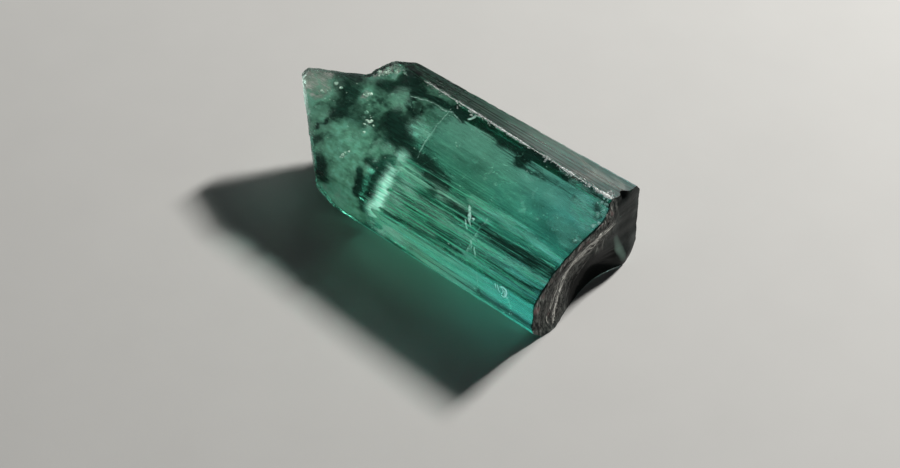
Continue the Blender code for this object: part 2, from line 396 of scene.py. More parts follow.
# Pale marks; those near s -214 across q 79 to 145 paint the light of the bright band, and the two lines along the toe
# edge at q 169 paint its highlight.
PALE_AND_LIGHT_MARKS = [
    (-220, 79, -214, 86, 5.3, 0.9), (-216, 100, -212, 109, 5.3, 1.0), (-214, 111, -211, 126, 6.4, 1.0),
    (-212, 132, -212, 145, 7.0, 1.0), (-242, 91, -242, 91, 2.9, 0.8), (-252, 87, -254, 75, 3.5, 0.4),
    (-244, 75, -240, 76, 4.7, 0.5), (-244, 102, -240, 104, 3.5, 0.5), (-276, 103, -276, 104, 3.5, 0.6),
    (-285, 83, -278, 82, 7.0, 0.5), (-278, 67, -274, 69, 2.9, 0.6), (-285, 62, -285, 62, 2.3, 0.5),
    (-305, 42, -304, 42, 4.7, 0.8), (-282, 28, -282, 28, 3.5, 0.7), (-274, 24, -265, 32, 8.2, 0.6),
    (-326, 99, -322, 104, 4.7, 0.6), (-326, 77, -324, 80, 3.5, 0.5), (-307, 111, -303, 114, 5.8, 0.4),
    (-271, 158, -252, 157, 4.7, 0.4), (-233, 43, -220, 44, 9.4, 0.6), (-174, 47, -174, 47, 1.4, 0.7),
    (-160, 65, -160, 65, 1.2, 0.7), (-132, 49, -130, 52, 1.2, 0.8), (-116, 49, -114, 50, 1.4, 0.8),
    (-106, 64, -106, 64, 1.4, 0.7), (-82, 51, -80, 54, 1.8, 0.6), (-76, 57, -74, 59, 2.9, 0.8),
    (-56, 58, -54, 58, 1.8, 0.7), (-76, 33, -75, 41, 1.2, 0.6), (-28, 1, -26, 9, 0.9, 0.8),
    (-8, 54, -2, 55, 2.6, 0.9), (-17, 22, -14, 23, 2.3, 0.7), (-14, 28, -12, 29, 1.8, 0.7),
    (-7, 13, -2, 19, 3.5, 1.0), (-11, 13, -3, 12, 2.3, 0.8), (-72, 4, -60, 4, 1.8, 0.9),
    (-178, 14, -158, 14, 2.3, 0.4), (-102, 26, -90, 29, 3.5, 0.5), (-132, 41, -130, 50, 1.4, 0.4),
    (-212, 86, -149, 86, 1.1, 0.8), (-149, 86, -121, 88, 1.1, 0.5), (-208, 102, -108, 110, 2.3, 0.7),
    (-108, 110, -3, 109, 2.8, 0.8), (-126, 75, -76, 75, 3.5, 0.5), (-76, 75, -23, 80, 3.5, 0.5),
    (-23, 80, -2, 83, 3.5, 0.5), (-178, 122, -176, 124, 4.7, 0.7), (-374, 50, -345, 60, 12.0, 0.75),
    (-380, 70, -360, 78, 6.0, 0.6), (-352, 44, -338, 48, 6.0, 0.6), (-176, 140, -174, 143, 3.5, 0.6),
    (-112, 169, -62, 169, 0.9, 0.8), (-62, 169, -6, 177, 0.9, 0.8), (-135, 144, -114, 149, 1.8, 0.4),
    (-110, 132, -85, 130, 2.3, 0.4), (-82, 83, -33, 80, 1.2, 0.4), (-20, 65, -12, 66, 3.5, 0.4),
    (-34, 50, -10, 58, 10.0, 0.40), (-30, 22, -10, 34, 10.0, 0.85), (-60, 30, -30, 30, 8.0, 0.30), (-52, 6, -22, 8, 4.0, 0.60), (-20, 8, -8, 12, 5.0, 0.7),
]
# The bright basal band: painted light, the glow of light reflected at a crack plane across the crystal, seen through
# the front faces.
BAND_LIGHT_MARKS = [
    (-222, 76, -219, 88, 8.0, 0.50), (-218, 88, -215, 104, 7.5, 0.60), (-215, 104, -212, 118, 7.5, 1.1),
    (-211, 118, -209, 132, 7.5, 1.6), (-209, 132, -211, 139, 8.0, 2.2), (-211, 138, -212, 143, 8.5, 3.0),
    (-204, 90, -188, 98, 8.0, 0.25), (-202, 112, -190, 118, 8.0, 0.25), (-202, 130, -192, 134, 8.0, 0.30),
    (-202, 150, -176, 156, 10.0, 0.45), (-190, 140, -187, 152, 5.0, 0.60),
    (-214, 145, -214, 147, 6.0, 1.6), (-212, 153, -200, 161, 9.0, 0.50),
]
# The top strip is matt, with a grey haze just under it that also paints sheen, the reflection on the strip; it is
# thicker towards the break.
STRIP_MARKS = [
    (-235, -14, -170, -14, 9.0, 0.12), (-170, -14, -110, -14, 11.0, 0.30), (-110, -14, -60, -14, 13.0, 0.55),
    (-60, -14, 0, -14, 15.0, 0.85),
]
# Where the front faces are full of fine mint lines; the wide marks on the lower face, from q 140 on, also paint light
# there, brightening it.
LINE_AND_LIGHT_MARKS = [
    (-208, 84, -150, 86, 6.0, 0.75), (-150, 86, -95, 84, 4.5, 0.6), (-200, 106, -120, 109, 7.0, 0.62),
    (-120, 109, -30, 112, 6.0, 0.70), (-30, 112, -4, 112, 5.0, 0.55), (-205, 122, -140, 126, 5.0, 0.40),
    (-110, 124, -40, 128, 5.0, 0.75), (-40, 128, -4, 126, 5.0, 0.6), (-126, 75, -60, 76, 5.0, 0.55), (-60, 76, -6, 82, 4.0, 0.5),
    (-205, 146, -120, 148, 11.0, 0.75), (-150, 160, -80, 160, 10.0, 0.95), (-110, 145, -50, 150, 10.0, 0.95),
    (-60, 158, -6, 160, 9.0, 0.6), (-40, 140, -4, 142, 6.0, 0.5), (-60, 150, -6, 156, 16.0, 0.55), (-190, 150, -150, 152, 14.0, 0.75),
]
# Milky patches near the point: s, q, radius, and tone from dark (0) to white (1).
NEAR_PATCHES = [
    (-360, 55, 16, 0.92), (-348, 58, 9, 0.90), (-353, 74, 11, 0.62), (-339, 89, 8, 0.50), (-332, 44, 14, 0.33), (-306, 37, 9, 0.45),
    (-288, 50, 16, 0.36), (-269, 31, 13, 0.53), (-284, 14, 14, 0.22), (-283, 0, 7, 0.12), (-316, 14, 9, 0.70), (-316, 15, 4, 1.0), (-300, 6, 4, 1.0), (-305, 42, 3, 0.95), (-309, 11, 4, 0.9),
    (-299, 4, 7, 0.80), (-312, 67, 8, 0.12), (-329, 63, 9, 0.26), (-285, 89, 23, 0.54), (-272, 115, 20, 0.60),
    (-302, 112, 9, 0.50), (-267, 156, 15, 0.63), (-243, 152, 9, 0.62), (-250, 52, 15, 0.03), (-264, 50, 9, 0.08),
    (-291, 127, 9, 0.06), (-312, 103, 6, 0.12), (-240, 122, 6, 0.03), (-229, 109, 6, 0.04), (-228, 147, 6, 0.08),
    (-243, 80, 11, 0.50), (-243, 98, 9, 0.48), (-231, 87, 8, 0.10), (-325, 101, 7, 0.45), (-278, 143, 9, 0.56),
    (-279, 68, 9, 0.60), (-262, 71, 9, 0.30), (-248, 70, 7, 0.15), (-224, 128, 6, 0.10), (-256, 114, 7, 0.40),
    (-226, 37, 12, 0.42), (-224, 56, 9, 0.40), (-244, 28, 8, 0.18), (-212, 154, 9, 0.66), (-200, 152, 10, 0.6), (-236, 165, 8, 0.5),
]
# Thin cracks: (s, q) along each, with the half-width.
CRACKS = [
    ([(-216, 10), (-216, 20), (-215, 32), (-213, 46), (-210, 60)], 0.75),
    ([(-214, 44), (-212, 52), (-209, 62), (-205, 70)], 0.7),
    ([(-264, 20), (-253, 18), (-242, 15), (-232, 14)], 0.5),
    ([(-232, 14), (-223, 15), (-218, 14), (-212, 12), (-203, 15), (-196, 16)], 0.6),
    ([(-193, 10), (-190, 8), (-188, 3)], 1.5),
    ([(-124, 82), (-119, 86), (-115, 91), (-110, 96), (-106, 99)], 1.0),
    ([(-112, 92), (-109, 91), (-108, 94)], 1.1),
    ([(-122, 84), (-118, 88), (-114, 93), (-111, 97)], 1.5),
    ([(-116, 96), (-112, 101), (-108, 104)], 0.9),
    ([(-99, 111), (-96, 114), (-93, 118)], 0.9),
    ([(-91, 116), (-87, 120), (-83, 124)], 0.8),
    ([(-75, 134), (-73, 146), (-71, 158)], 0.4),
    # this one runs along the toe edge and also paints the highlight on it
    ([(-112, 168), (-84, 169), (-62, 169), (-34, 173), (-6, 177)], 0.45),
]
OUTLINE_Q = np.array([-61.0, -39.6, -31.0, 0.0, 97.4, 133.2, 169.4, 182.4, 240.0])
OUTLINE_U = np.array([-35.6, -36.5, -31.0, 0.0, 92.0, 121.0, 124.5, 115.0, 57.4])
OUTLINE_W = np.array([66.6, 88.0, 96.5, 98.0, 66.0, 45.0, 9.0, 0.0, 0.0])


def under_face(q, depth):
    """The untapered (u, w) at q across the faces, depth units below the surface, rounding the corners."""
    q = np.asarray(q, float)

    def spot(v):
        return np.interp(v, OUTLINE_Q, OUTLINE_U), np.interp(v, OUTLINE_Q, OUTLINE_W)

    u, w = spot(q)
    (ua, wa), (ub, wb) = spot(q - 5.0), spot(q + 5.0)
    run = np.maximum(np.hypot(ub - ua, wb - wa), 1e-6)
    return u + (wb - wa) / run * depth, w - (ub - ua) / run * depth


def in_crystal(s, u, w, margin=1.2):
    """True where an untapered point lies in the crystal, clear of its surface."""
    ok = np.ones(np.broadcast(s, u, w).shape, bool)
    for i, (_, u0, w0) in enumerate(CORNERS):
        _, u1, w1 = CORNERS[(i + 1) % len(CORNERS)]
        run = math.hypot(u1 - u0, w1 - w0)
        ok &= ((u - u0) * (w1 - w0) - (w - w0) * (u1 - u0)) / run > margin
    tu, tw = taper(s, u, w)
    return ok & (s > point_surface(tu, tw) + margin + 1.5) & (s < break_surface(tu, tw) - margin)


def strength(marks, s, q, ragged=5.0, soft_edge=False):
    """How strongly any mark covers (s, q), with ragged edges drawn out along the crystal."""
    s = s + ragged * fractal(noise2, s / 31.0 + 8, q / 4.0, octaves=3)
    q = q + 2.6 * fractal(noise2, s / 23.0 + 40, q / 9.0, octaves=3)
    total = np.zeros(np.broadcast(s, q).shape)
    for s0, q0, s1, q1, wide, amount in marks:
        ds, dq = s1 - s0, q1 - q0
        part = np.clip(((s - s0) * ds + (q - q0) * dq) / max(ds * ds + dq * dq, 1e-6), 0, 1)
        away = np.hypot(s - s0 - part * ds, q - q0 - part * dq) / wide
        soft = np.clip((1.5 - away) / 1.1, 0, 1)
        soft = np.exp(-1.5 * away * away) if soft_edge else soft * soft * (3 - 2 * soft)
        total = np.maximum(total, amount * soft)
    return total


def mesh_piece(name, points, polygons, material, smooth=True, **attributes):
    """A finished piece from its points: it rides with the crystal and takes the crystal's slot."""
    mesh = bpy.data.meshes.new(name)
    low, high = np.array(CAD_BOX[0], float) + 1e-5, np.array(CAD_BOX[1], float) - 1e-5
    points = np.clip(np.asarray(points, float), low, high)
    mesh.from_pydata(points.tolist(), [], [tuple(int(v) for v in p) for p in polygons])
    mesh.update()
    for key, values in attributes.items():
        layer = mesh.attributes.new(key, "FLOAT", "POINT")
        layer.data.foreach_set("value", np.asarray(values, np.float32))
    if smooth:
        mesh.shade_smooth()
    mesh.materials.append(material)
    obj = bpy.data.objects.new(name, mesh)
    bpy.context.scene.collection.objects.link(obj)
    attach(obj, "root")
    return obj


def build_veil(name, marks, depth, material, step=(1.2, 0.9), least=0.03, ragged=5.0, soft_edge=False):
    """A thin sheet under the front faces, kept only where the marks lie."""
    s, q = np.meshgrid(np.arange(S_MIN, S_MAX, step[0]), np.arange(-28.0, 180.0, step[1]), indexing="ij")
    amount = strength(marks, s, q, ragged, soft_edge)
    below = depth * (1 + 0.7 * fractal(noise2, s / 37.0 + depth, q / 13.0, octaves=3))
    u, w = under_face(q, below)
    inside = in_crystal(s, u, w)
    amount = np.where(inside, amount, 0.0)
    points = to_row(s, *taper(s, u, w)).reshape(-1, 3)
    index = np.arange(s.size).reshape(s.shape)
    quads = np.stack([index[:-1, :-1], index[1:, :-1], index[1:, 1:], index[:-1, 1:]], -1).reshape(-1, 4)
    flat = amount.reshape(-1)
    whole = inside.reshape(-1)
    keep = (flat[quads].max(1) > least) & whole[quads].all(1)
    quads = quads[keep]
    used, back = np.unique(quads, return_inverse=True)
    return mesh_piece(name, points[used], back.reshape(-1, 4), material, amount=flat[used])


def build_clouds(name, material):
    """The milky, patchy layer under the front faces: thick near the point, a faint mottling elsewhere."""
    s, q = np.meshgrid(np.arange(S_MIN, S_MAX, 1.6), np.arange(-26.0, 181.0, 1.2), indexing="ij")
    below = 5.0 * (1 + 0.35 * fractal(noise2, s / 30.0, q / 15.0, octaves=3))
    u, w = under_face(q, below)
    inside = in_crystal(s, u, w)
    edge = s + 14.0 * noise2(s / 18.0, q / 16.0) + 0.10 * (q - 80.0)
    near = np.clip((np.interp(q, [120, 142], [-216.0, -203.0]) - edge) / 26.0, 0, 1)
    rest = np.interp(q, [0, 60, 97, 105, 133, 140, 180], [0.32, 0.32, 0.24, 0.12, 0.12, 0.22, 0.22])
    rest = rest + 0.14 * np.clip((s + 75.0) / 40.0, 0, 1) * np.clip((92.0 - q) / 20.0, 0, 1)
    amount = rest + (0.94 - rest) * near
    # which patch a place belongs to, with wandering borders
    ss = s + 9.0 * fractal(noise2, s / 13.0 + 2, q / 13.0 + 50, octaves=5)
    qq = q + 9.0 * fractal(noise2, s / 13.0 + 33, q / 13.0 + 9, octaves=5)
    total, weight = 0.38 * 0.02, 0.02
    for s0, q0, radius, tone in NEAR_PATCHES:
        share = (4.0 if radius < 5 else 1.0) * np.exp(-(((ss - s0) ** 2 + (qq - q0) ** 2) / (1.08 * radius) ** 2))
        total, weight = total + share * tone, weight + share
    tone = total / weight + 0.18 * fractal(noise2, s / 9.0, q / 7.0, octaves=4)
    points = to_row(s, *taper(s, u, w)).reshape(-1, 3)
    index = np.arange(s.size).reshape(s.shape)
    quads = np.stack([index[:-1, :-1], index[1:, :-1], index[1:, 1:], index[:-1, 1:]], -1).reshape(-1, 4)
    quads = quads[inside.reshape(-1)[quads].all(1)]
    used, back = np.unique(quads, return_inverse=True)
    return mesh_piece(
        name,
        points[used],
        back.reshape(-1, 4),
        material,
        amount=amount.reshape(-1)[used],
        near=near.reshape(-1)[used],
        tone=np.clip(tone, 0, 1).reshape(-1)[used],
    )


def build_crushed_ridge(name, material):
    """The white, bruised line along the ridge: a low closed bead with broken sides, in runs."""
    s = np.arange(-264.0, -5.0, 0.45)
    rough = fractal(noise1, s / 9.0 + 3, octaves=4)
    wide = 0.75 + 1.0 * np.clip(rough + 0.15, -0.2, 1) + 0.35 * noise1(s / 0.9 + 7)
    wide = wide + 1.1 * np.exp(-(((s + 66) / 9) ** 2)) + 1.2 * np.exp(-(((s + 12) / 8) ** 2)) + 0.9 * np.exp(-(((s + 190) / 4) ** 2))
    wide = wide * np.clip(0.35 + 0.9 * (fractal(noise1, s / 21.0 + 40, octaves=2) + 0.62), 0.30, 1.25)
    wide = wide * np.interp(s, [-240, -205, -140], [0.18, 0.32, 1.0])
    middle = 0.9 + 0.9 * fractal(noise1, s / 13.0 + 70, octaves=3)
    rows = []
    for k, lift in ((-1.0, 0.55), (-0.75, -0.10), (-0.25, -0.34), (0.25, -0.38), (0.75, -0.12), (1.0, 0.55), (0.0, 0.9)):
        q = middle + wide * k + 0.25 * noise1(s / 0.8 + 31 * k)
        q = np.where(q < 0, q * 1.15, q)
        jag = 0.16 * noise1(s / 0.7 + 17 * k + 5) if abs(k) < 0.9 and lift < 0.5 else 0.0
        u, w = under_face(q, lift * (0.6 + 0.5 * wide) + jag)
        rows.append(to_row(s, *taper(s, u, w)))
    block = np.stack(rows, 1)
    n, m = block.shape[:2]
    index = np.arange(n * m).reshape(n, m)
    nxt = np.roll(index, -1, axis=1)
    faces = np.stack([index[:-1], nxt[:-1], nxt[1:], index[1:]], -1).reshape(-1, 4).tolist()
    faces += [index[0][::-1].tolist(), index[-1].tolist()]
    return mesh_piece(name, block.reshape(-1, 3), faces, material, smooth=False)


def strip(s, u, w, tu, tw, half):
    """Points of a flat ribbon along untapered (s, u, w), widened by half along (tu, tw)."""
    left = to_row(s, *taper(s, u - tu * half, w - tw * half))
    right = to_row(s, *taper(s, u + tu * half, w + tw * half))
    return np.stack([left, right], 1).reshape(-1, 3)


def build_tubes(name, material, seed, count, pick, length, half, depth, tone):
    """Growth tubes and needles along the crystal: thin ribbons that face out, in ragged runs."""
    local = np.random.RandomState(seed)
    points, quads, tones, amounts, total = [], [], [], [], 0
    tries = 0
    while count > 0 and tries < 60000:
        tries += 1
        found = pick(local)
        if found is None:
            continue
        s0, q0, solid = found
        count -= 1
        long = length[0] * (length[1] / length[0]) ** local.rand()
        wide = half[0] * (half[1] / half[0]) ** (local.rand() ** 1.3)
        below = depth[0] * (depth[1] / depth[0]) ** local.rand()
        pieces = max(4, int(long / 5.0))
        share = np.linspace(0, 1, pieces + 1)
        s = s0 + (share - local.rand()) * long
        solid *= float(np.clip((s[0] + 262.0) / 40.0, 0.12, 1))
        q = q0 + 0.12 * noise1(s / 14.0 + local.rand() * 60) + (share - 0.5) * local.randn() * 0.3
        u, w = under_face(q, below)
        (ua, wa), (ub, wb) = under_face(q - 1, below), under_face(q + 1, below)
        run = np.maximum(np.hypot(ub - ua, wb - wa), 1e-6)
        size = wide * np.sin(math.pi * np.clip(share, 0.02, 0.98)) ** 0.4 * (0.75 + 0.35 * local.rand(pieces + 1))
        ok = in_crystal(s, u, w, 1.0 + wide)
        start = int(np.argmax(ok))
        stop = start
        while stop + 1 < len(ok) and ok[stop + 1]:
            stop += 1
        if not ok[start] or stop - start < 2:
            continue
        cut = slice(start, stop + 1)
        points.append(strip(s[cut], u[cut], w[cut], (ub - ua)[cut] / run[cut], (wb - wa)[cut] / run[cut], size[cut]))
        n = stop - start + 1
        base = total + 2 * np.arange(n - 1)
        quads.append(np.stack([base, base + 1, base + 3, base + 2], -1))
        total += 2 * n
        shade = tone(local)
        tones.append(np.full(2 * n, shade))
        amounts.append(np.full(2 * n, solid * (0.55 + 0.45 * local.rand())))
    return mesh_piece(
        name, np.concatenate(points), np.concatenate(quads), material, tone=np.concatenate(tones), amount=np.concatenate(amounts)
    )


def from_marks(marks, power=1.0):
    weight = np.array([m[4] * (abs(m[2] - m[0]) + abs(m[3] - m[1]) + m[4]) * m[5] for m in marks])
    weight = np.cumsum(weight / weight.sum())

    def pick(local):
        s0, q0, s1, q1, wide, amount = marks[min(int(np.searchsorted(weight, local.rand())), len(marks) - 1)]
        part = local.rand()
        s = s0 + (s1 - s0) * part + local.randn() * wide * 0.55
        q = q0 + (q1 - q0) * part + local.randn() * wide * 0.55
        return s, q, amount**power

    return pick


def anywhere(s_range, q_range, amount):
    def pick(local):
        s = s_range[0] + (s_range[1] - s_range[0]) * local.rand()
        q = q_range[0] + (q_range[1] - q_range[0]) * local.rand()
        return s, q, amount * (0.35 + 0.65 * local.rand())

    return pick


def build_cracks(name, material):
    """Thin bright cracks: ribbons that lean into the crystal from just under the surface."""
    local = np.random.RandomState(77)
    points, quads, amounts, total = [], [], [], 0
    for path, half in CRACKS:
        path = np.array(path, float)
        reach = np.concatenate([[0], np.cumsum(np.hypot(*np.diff(path, axis=0).T))])
        n = max(10, int(reach[-1] / 0.8))
        along = np.linspace(0, reach[-1], n)
        s, q = np.interp(along, reach, path[:, 0]), np.interp(along, reach, path[:, 1])
        calm = 0.35 if half > 1.3 else 1.0
        s = s + 0.9 * calm * fractal(noise1, along / 5.0 + half * 30, octaves=3)
        q = q + 0.9 * calm * fractal(noise1, along / 5.0 + half * 50 + 20, octaves=3)
        wide = half * (0.35 + 1.1 * local.rand(n) * calm + 0.6 * (1 - calm)) * np.sin(math.pi * np.linspace(0.04, 0.96, n)) ** 0.3
        ds, dq = np.gradient(s), np.gradient(q)
        run = np.hypot(ds, dq)
        across_s, across_q = -dq / run, ds / run
        rows = []
        for k, below in ((-1.0, 1.2), (-0.3, 1.3), (0.3, 1.4), (1.0, 1.9)):
            ss, qq = s + across_s * wide * k, q + across_q * wide * k
            u, w = under_face(qq, below)
            ok = in_crystal(ss, u, w, 0.7)
            ss = np.where(ok, ss, s)
            rows.append(to_row(ss, *taper(ss, u, w)))
        block = np.stack(rows, 1)
        m = block.shape[1]
        points.append(block.reshape(-1, 3))
        index = total + np.arange(n * m).reshape(n, m)
        quads.append(np.stack([index[:-1, :-1], index[1:, :-1], index[1:, 1:], index[:-1, 1:]], -1).reshape(-1, 4))
        total += n * m
        faint = 0.50 if path[0, 0] < -200 else 1.0
        amounts.append(np.repeat(faint * (0.6 + 0.4 * fractal(noise1, along / 6.0 + half, octaves=3) + 0.3 * local.rand(n)).clip(0.1, 1), m))
    return mesh_piece(name, np.concatenate(points), np.concatenate(quads), material, amount=np.concatenate(amounts))


def build_scratches(name, material):
    """Fine, short healed cracks in every direction, most of them under the upper face."""
    local = np.random.RandomState(88)
    points, quads, amounts, total = [], [], [], 0
    for k in range(520):
        s0, q0 = -212 + 206 * local.rand(), (10 + 84 * local.rand() if k % 4 else 100 + 74 * local.rand())
        turn, bend = local.rand() * 2 * math.pi, local.randn() * 0.25
        long = 1.5 + 7.0 * local.rand() ** 2
        share = np.linspace(-0.5, 0.5, 9)
        way = turn + bend * share * 3
        s, q = s0 + np.cos(way) * long * share, q0 + np.sin(way) * long * share
        half = (0.09 + 0.22 * local.rand() ** 2) * np.cos(share * 2.8)
        below = 1.4 + 5.0 * local.rand() ** 1.5
        rows = []
        for sign in (-1, 1):
            ss, qq = s - np.sin(way) * half * sign, q + np.cos(way) * half * sign
            u, w = under_face(qq, below)
            if not in_crystal(ss, u, w).all():
                break
            rows.append(to_row(ss, *taper(ss, u, w)))
        if len(rows) < 2:
            continue
        points.append(np.stack(rows, 1).reshape(-1, 3))
        base = total + 2 * np.arange(8)
        quads.append(np.stack([base, base + 1, base + 3, base + 2], -1))
        total += 18
        amounts.append(np.full(18, 0.25 + 0.75 * local.rand() ** 1.5))
    return mesh_piece(name, np.concatenate(points), np.concatenate(quads), material, amount=np.concatenate(amounts))


def build_basal_cracks(name, material):
    """Cracks square to the crystal: partial sheets that reach in from the front faces."""
    points, quads, amounts, total = [], [], [], 0
    # middle s, q from and to, how deep it reaches, slope with depth
    # the two at s -211 and -217 also carry painted light, the glow of the bright band
    for at, q0, q1, deep, slope in ((-211.0, 74, 150, 30.0, -0.16), (-217.0, 98, 148, 17.0, -0.10), (-98.0, 82, 126, 13.0, 0.22)):
        q, below = np.meshgrid(np.arange(q0, q1, 1.1), np.linspace(0, 1, 22), indexing="ij")
        limit = deep * (0.55 + 0.75 * (0.5 + fractal(noise1, q / 9.0 + at, octaves=3)))
        below = 2.0 + below * np.clip(limit, 2.0, 60.0)
        u, w = under_face(q, below)
        s = at + slope * below + 1.2 * fractal(noise2, q / 7.0 + at, below / 7.0, octaves=3) + 0.05 * (q - (q0 + q1) / 2)
        points.append(to_row(s, *taper(s, u, w)).reshape(-1, 3))
        index = total + np.arange(s.size).reshape(s.shape)
        quads.append(np.stack([index[:-1, :-1], index[1:, :-1], index[1:, 1:], index[:-1, 1:]], -1).reshape(-1, 4))
        total += s.size
        ends = np.clip((q - q0) / 8.0, 0, 1) * np.clip((q1 - q) / 8.0, 0, 1)
        fade = 1 - np.linspace(0, 1, s.shape[1])[None, :] ** 2
        amounts.append((ends * fade * np.clip(0.75 + 0.9 * noise1(q / 2.3 + at), 0.15, 1)).reshape(-1))
    return mesh_piece(name, np.concatenate(points), np.concatenate(quads), material, amount=np.concatenate(amounts))


def build_fingerprint(name, material):
    """The small curled inclusion near the broken end: nested arcs of fine tube and a tail of specks."""
    points, quads, total = [], [], 0
    local = np.random.RandomState(12)

    def tube(path, radius):
        nonlocal total
        path = np.asarray(path, float)
        sides = 6
        tangent = np.gradient(path, axis=0)
        tangent /= np.maximum(np.linalg.norm(tangent, axis=1, keepdims=True), 1e-9)
        out = np.array([0.0, -0.91, 0.41])
        side = np.cross(tangent, out)
        side /= np.maximum(np.linalg.norm(side, axis=1, keepdims=True), 1e-9)
        up = np.cross(side, tangent)
        size = radius * np.sin(math.pi * np.linspace(0.06, 0.94, len(path))) ** 0.5
        ring = [
            path + (side * math.cos(a) + up * math.sin(a)) * size[:, None]
            for a in np.linspace(0, 2 * math.pi, sides, endpoint=False)
        ]
        block = np.stack(ring, 1)
        points.append(block.reshape(-1, 3))
        index = total + np.arange(len(path) * sides).reshape(len(path), sides)
        nxt = np.roll(index, -1, axis=1)
        quads.extend(np.stack([index[:-1], nxt[:-1], nxt[1:], index[1:]], -1).reshape(-1, 4).tolist())
        quads.append(index[0][::-1].tolist())
        quads.append(index[-1].tolist())
        total += len(path) * sides

    def placed(s, q, below):
        u, w = under_face(q, below)
        return to_row(s, *taper(s, u, w))

    for corners, size in (
        (((-43.5, 135.6), (-40.0, 135.0), (-36.8, 136.6), (-35.6, 140.4), (-36.6, 144.4), (-39.2, 147.2), (-41.6, 146.4)), 1.15),
        (((-45.0, 137.0), (-42.4, 136.8), (-40.2, 139.0), (-40.0, 142.4), (-42.0, 145.0)), 0.6),
        (((-48.4, 135.6), (-47.2, 138.6), (-46.0, 141.8), (-43.6, 144.6)), 0.6),
        (((-51.0, 136.0), (-50.0, 139.0), (-48.8, 142.0)), 0.5),
        (((-38.6, 139.0), (-37.8, 141.5), (-38.6, 144.0)), 0.5),
    ):
        corners = np.array(corners)
        at = np.linspace(0, len(corners) - 1, 9 * len(corners))
        knots = np.arange(len(corners))
        arc_s, arc_q = np.interp(at, knots, corners[:, 0]), np.interp(at, knots, corners[:, 1])
        for _ in range(6):
            arc_s[1:-1] = (arc_s[:-2] + arc_s[1:-1] + arc_s[2:]) / 3
            arc_q[1:-1] = (arc_q[:-2] + arc_q[1:-1] + arc_q[2:]) / 3
        tube(placed(arc_s, arc_q, 1.2), size * U)
    for _ in range(26):
        part = local.rand() ** 1.4 * 5.0
        s = np.interp(part, [0, 1, 2, 3, 5], [-37, -34, -31, -29.5, -28.5]) + local.randn() * 0.8
        q = np.interp(part, [0, 1, 2, 3, 5], [146, 146, 149.5, 155, 165]) + local.randn() * 1.0
        long = 0.4 + 1.1 * local.rand()
        turn = local.rand() * math.pi
        share = np.linspace(-0.5, 0.5, 5)
        tube(placed(s + math.cos(turn) * long * share, q + math.sin(turn) * long * share, 1.6 + 1.2 * local.rand()), 0.36 * U)
    return mesh_piece(name, np.concatenate(points), quads, material)


def build_flakes(name, material, seed, spots):
    """Small closed flakes with broken sides, one at each (s, q, depth, long, wide, high)."""
    local = np.random.RandomState(seed)
    points, faces, total = [], [], 0
    ring = 7
    for s, q, below, long, wide, high in spots:
        angle = np.linspace(0, 2 * math.pi, ring, endpoint=False) + local.rand(ring) * 0.6
        far = 0.6 + 0.5 * local.rand(ring)
        ds, dq = long * far * np.cos(angle), wide * far * np.sin(angle)
        low = (s + ds, q + dq, np.full(ring, below + 0.7 + high * 0.5))
        top = (s + ds * 0.6 + local.randn() * long * 0.12, q + dq * 0.6, below - high * (0.3 + 0.7 * local.rand(ring)))
        for row in (low, top):
            u, w = under_face(row[1], row[2])
            points.append(to_row(row[0], *taper(row[0], u, np.maximum(w, 0.2))))
        a, b = total + np.arange(ring), total + ring + np.arange(ring)
        for i in range(ring):
            j = (i + 1) % ring
            faces.append((a[i], a[j], b[j], b[i]))
        faces.append(tuple(a[::-1]))
        faces.append(tuple(b))
        total += 2 * ring
    return mesh_piece(name, np.concatenate(points), faces, material, smooth=False)


def speck_spots():
    local = np.random.RandomState(17)
    spots = []
    for _ in range(1500):
        s, q = -330 + 326 * local.rand(), 4 + 172 * local.rand()
        crowd = 0.35 + 0.9 * float(fractal(noise2, np.array(s / 24.0), np.array(q / 18.0 + 60), octaves=3))
        crowd += 0.5 * math.exp(-(((s + 80) / 45) ** 2) - ((q - 145) / 26) ** 2) + 0.35 * math.exp(-(((s + 95) / 40) ** 2) - ((q - 52) / 22) ** 2)
        if local.rand() > crowd:
            continue
        size = 0.16 + 0.55 * local.rand() ** 3
        spots.append((s, q, 1.6 + 9.0 * local.rand() ** 2, size * (1 + local.rand()), size * 0.7, size * 0.5))
    for s0, q0, spread, count in ((-316, 15, 3.0, 20), (-300, 6, 3.0, 22), (-306, 16, 2.5, 12), (-305, 42, 2.5, 9), (-280, 64, 5.0, 12), (-274, 103, 5.0, 10), (-345, 60, 9.0, 14), (-8, 12, 3.0, 18), (-5, 21, 2.6, 16), (-11, 7, 2.5, 12), (-4, 30, 2.4, 8), (-9, 56, 2.0, 8)):
        for _ in range(count):
            size = 0.5 + 2.0 * local.rand() ** 2.5
            spots.append((s0 + local.randn() * spread, q0 + local.randn() * spread, 1.8 + 1.5 * local.rand(), size * 1.3, size, size * 0.6))
    for s0, q0, spread, count in ((-315, 15, 3.2, 9), (-301, 7, 3.0, 10), (-308, 12, 3.0, 6), (-304, 42, 2.0, 4), (-280, 64, 3.0, 4)):
        for _ in range(count):
            size = 0.9 + 1.5 * local.rand() ** 2
            spots.append((s0 + local.randn() * spread, q0 + local.randn() * spread, 2.0 + 1.2 * local.rand(), size * 1.4, size, size * 0.5))
    keep = []
    for v in spots:
        u, w = under_face(v[1], v[2])
        if bool(in_crystal(np.array(v[0]), u, w, 1.6)):
            keep.append(v)
    return keep


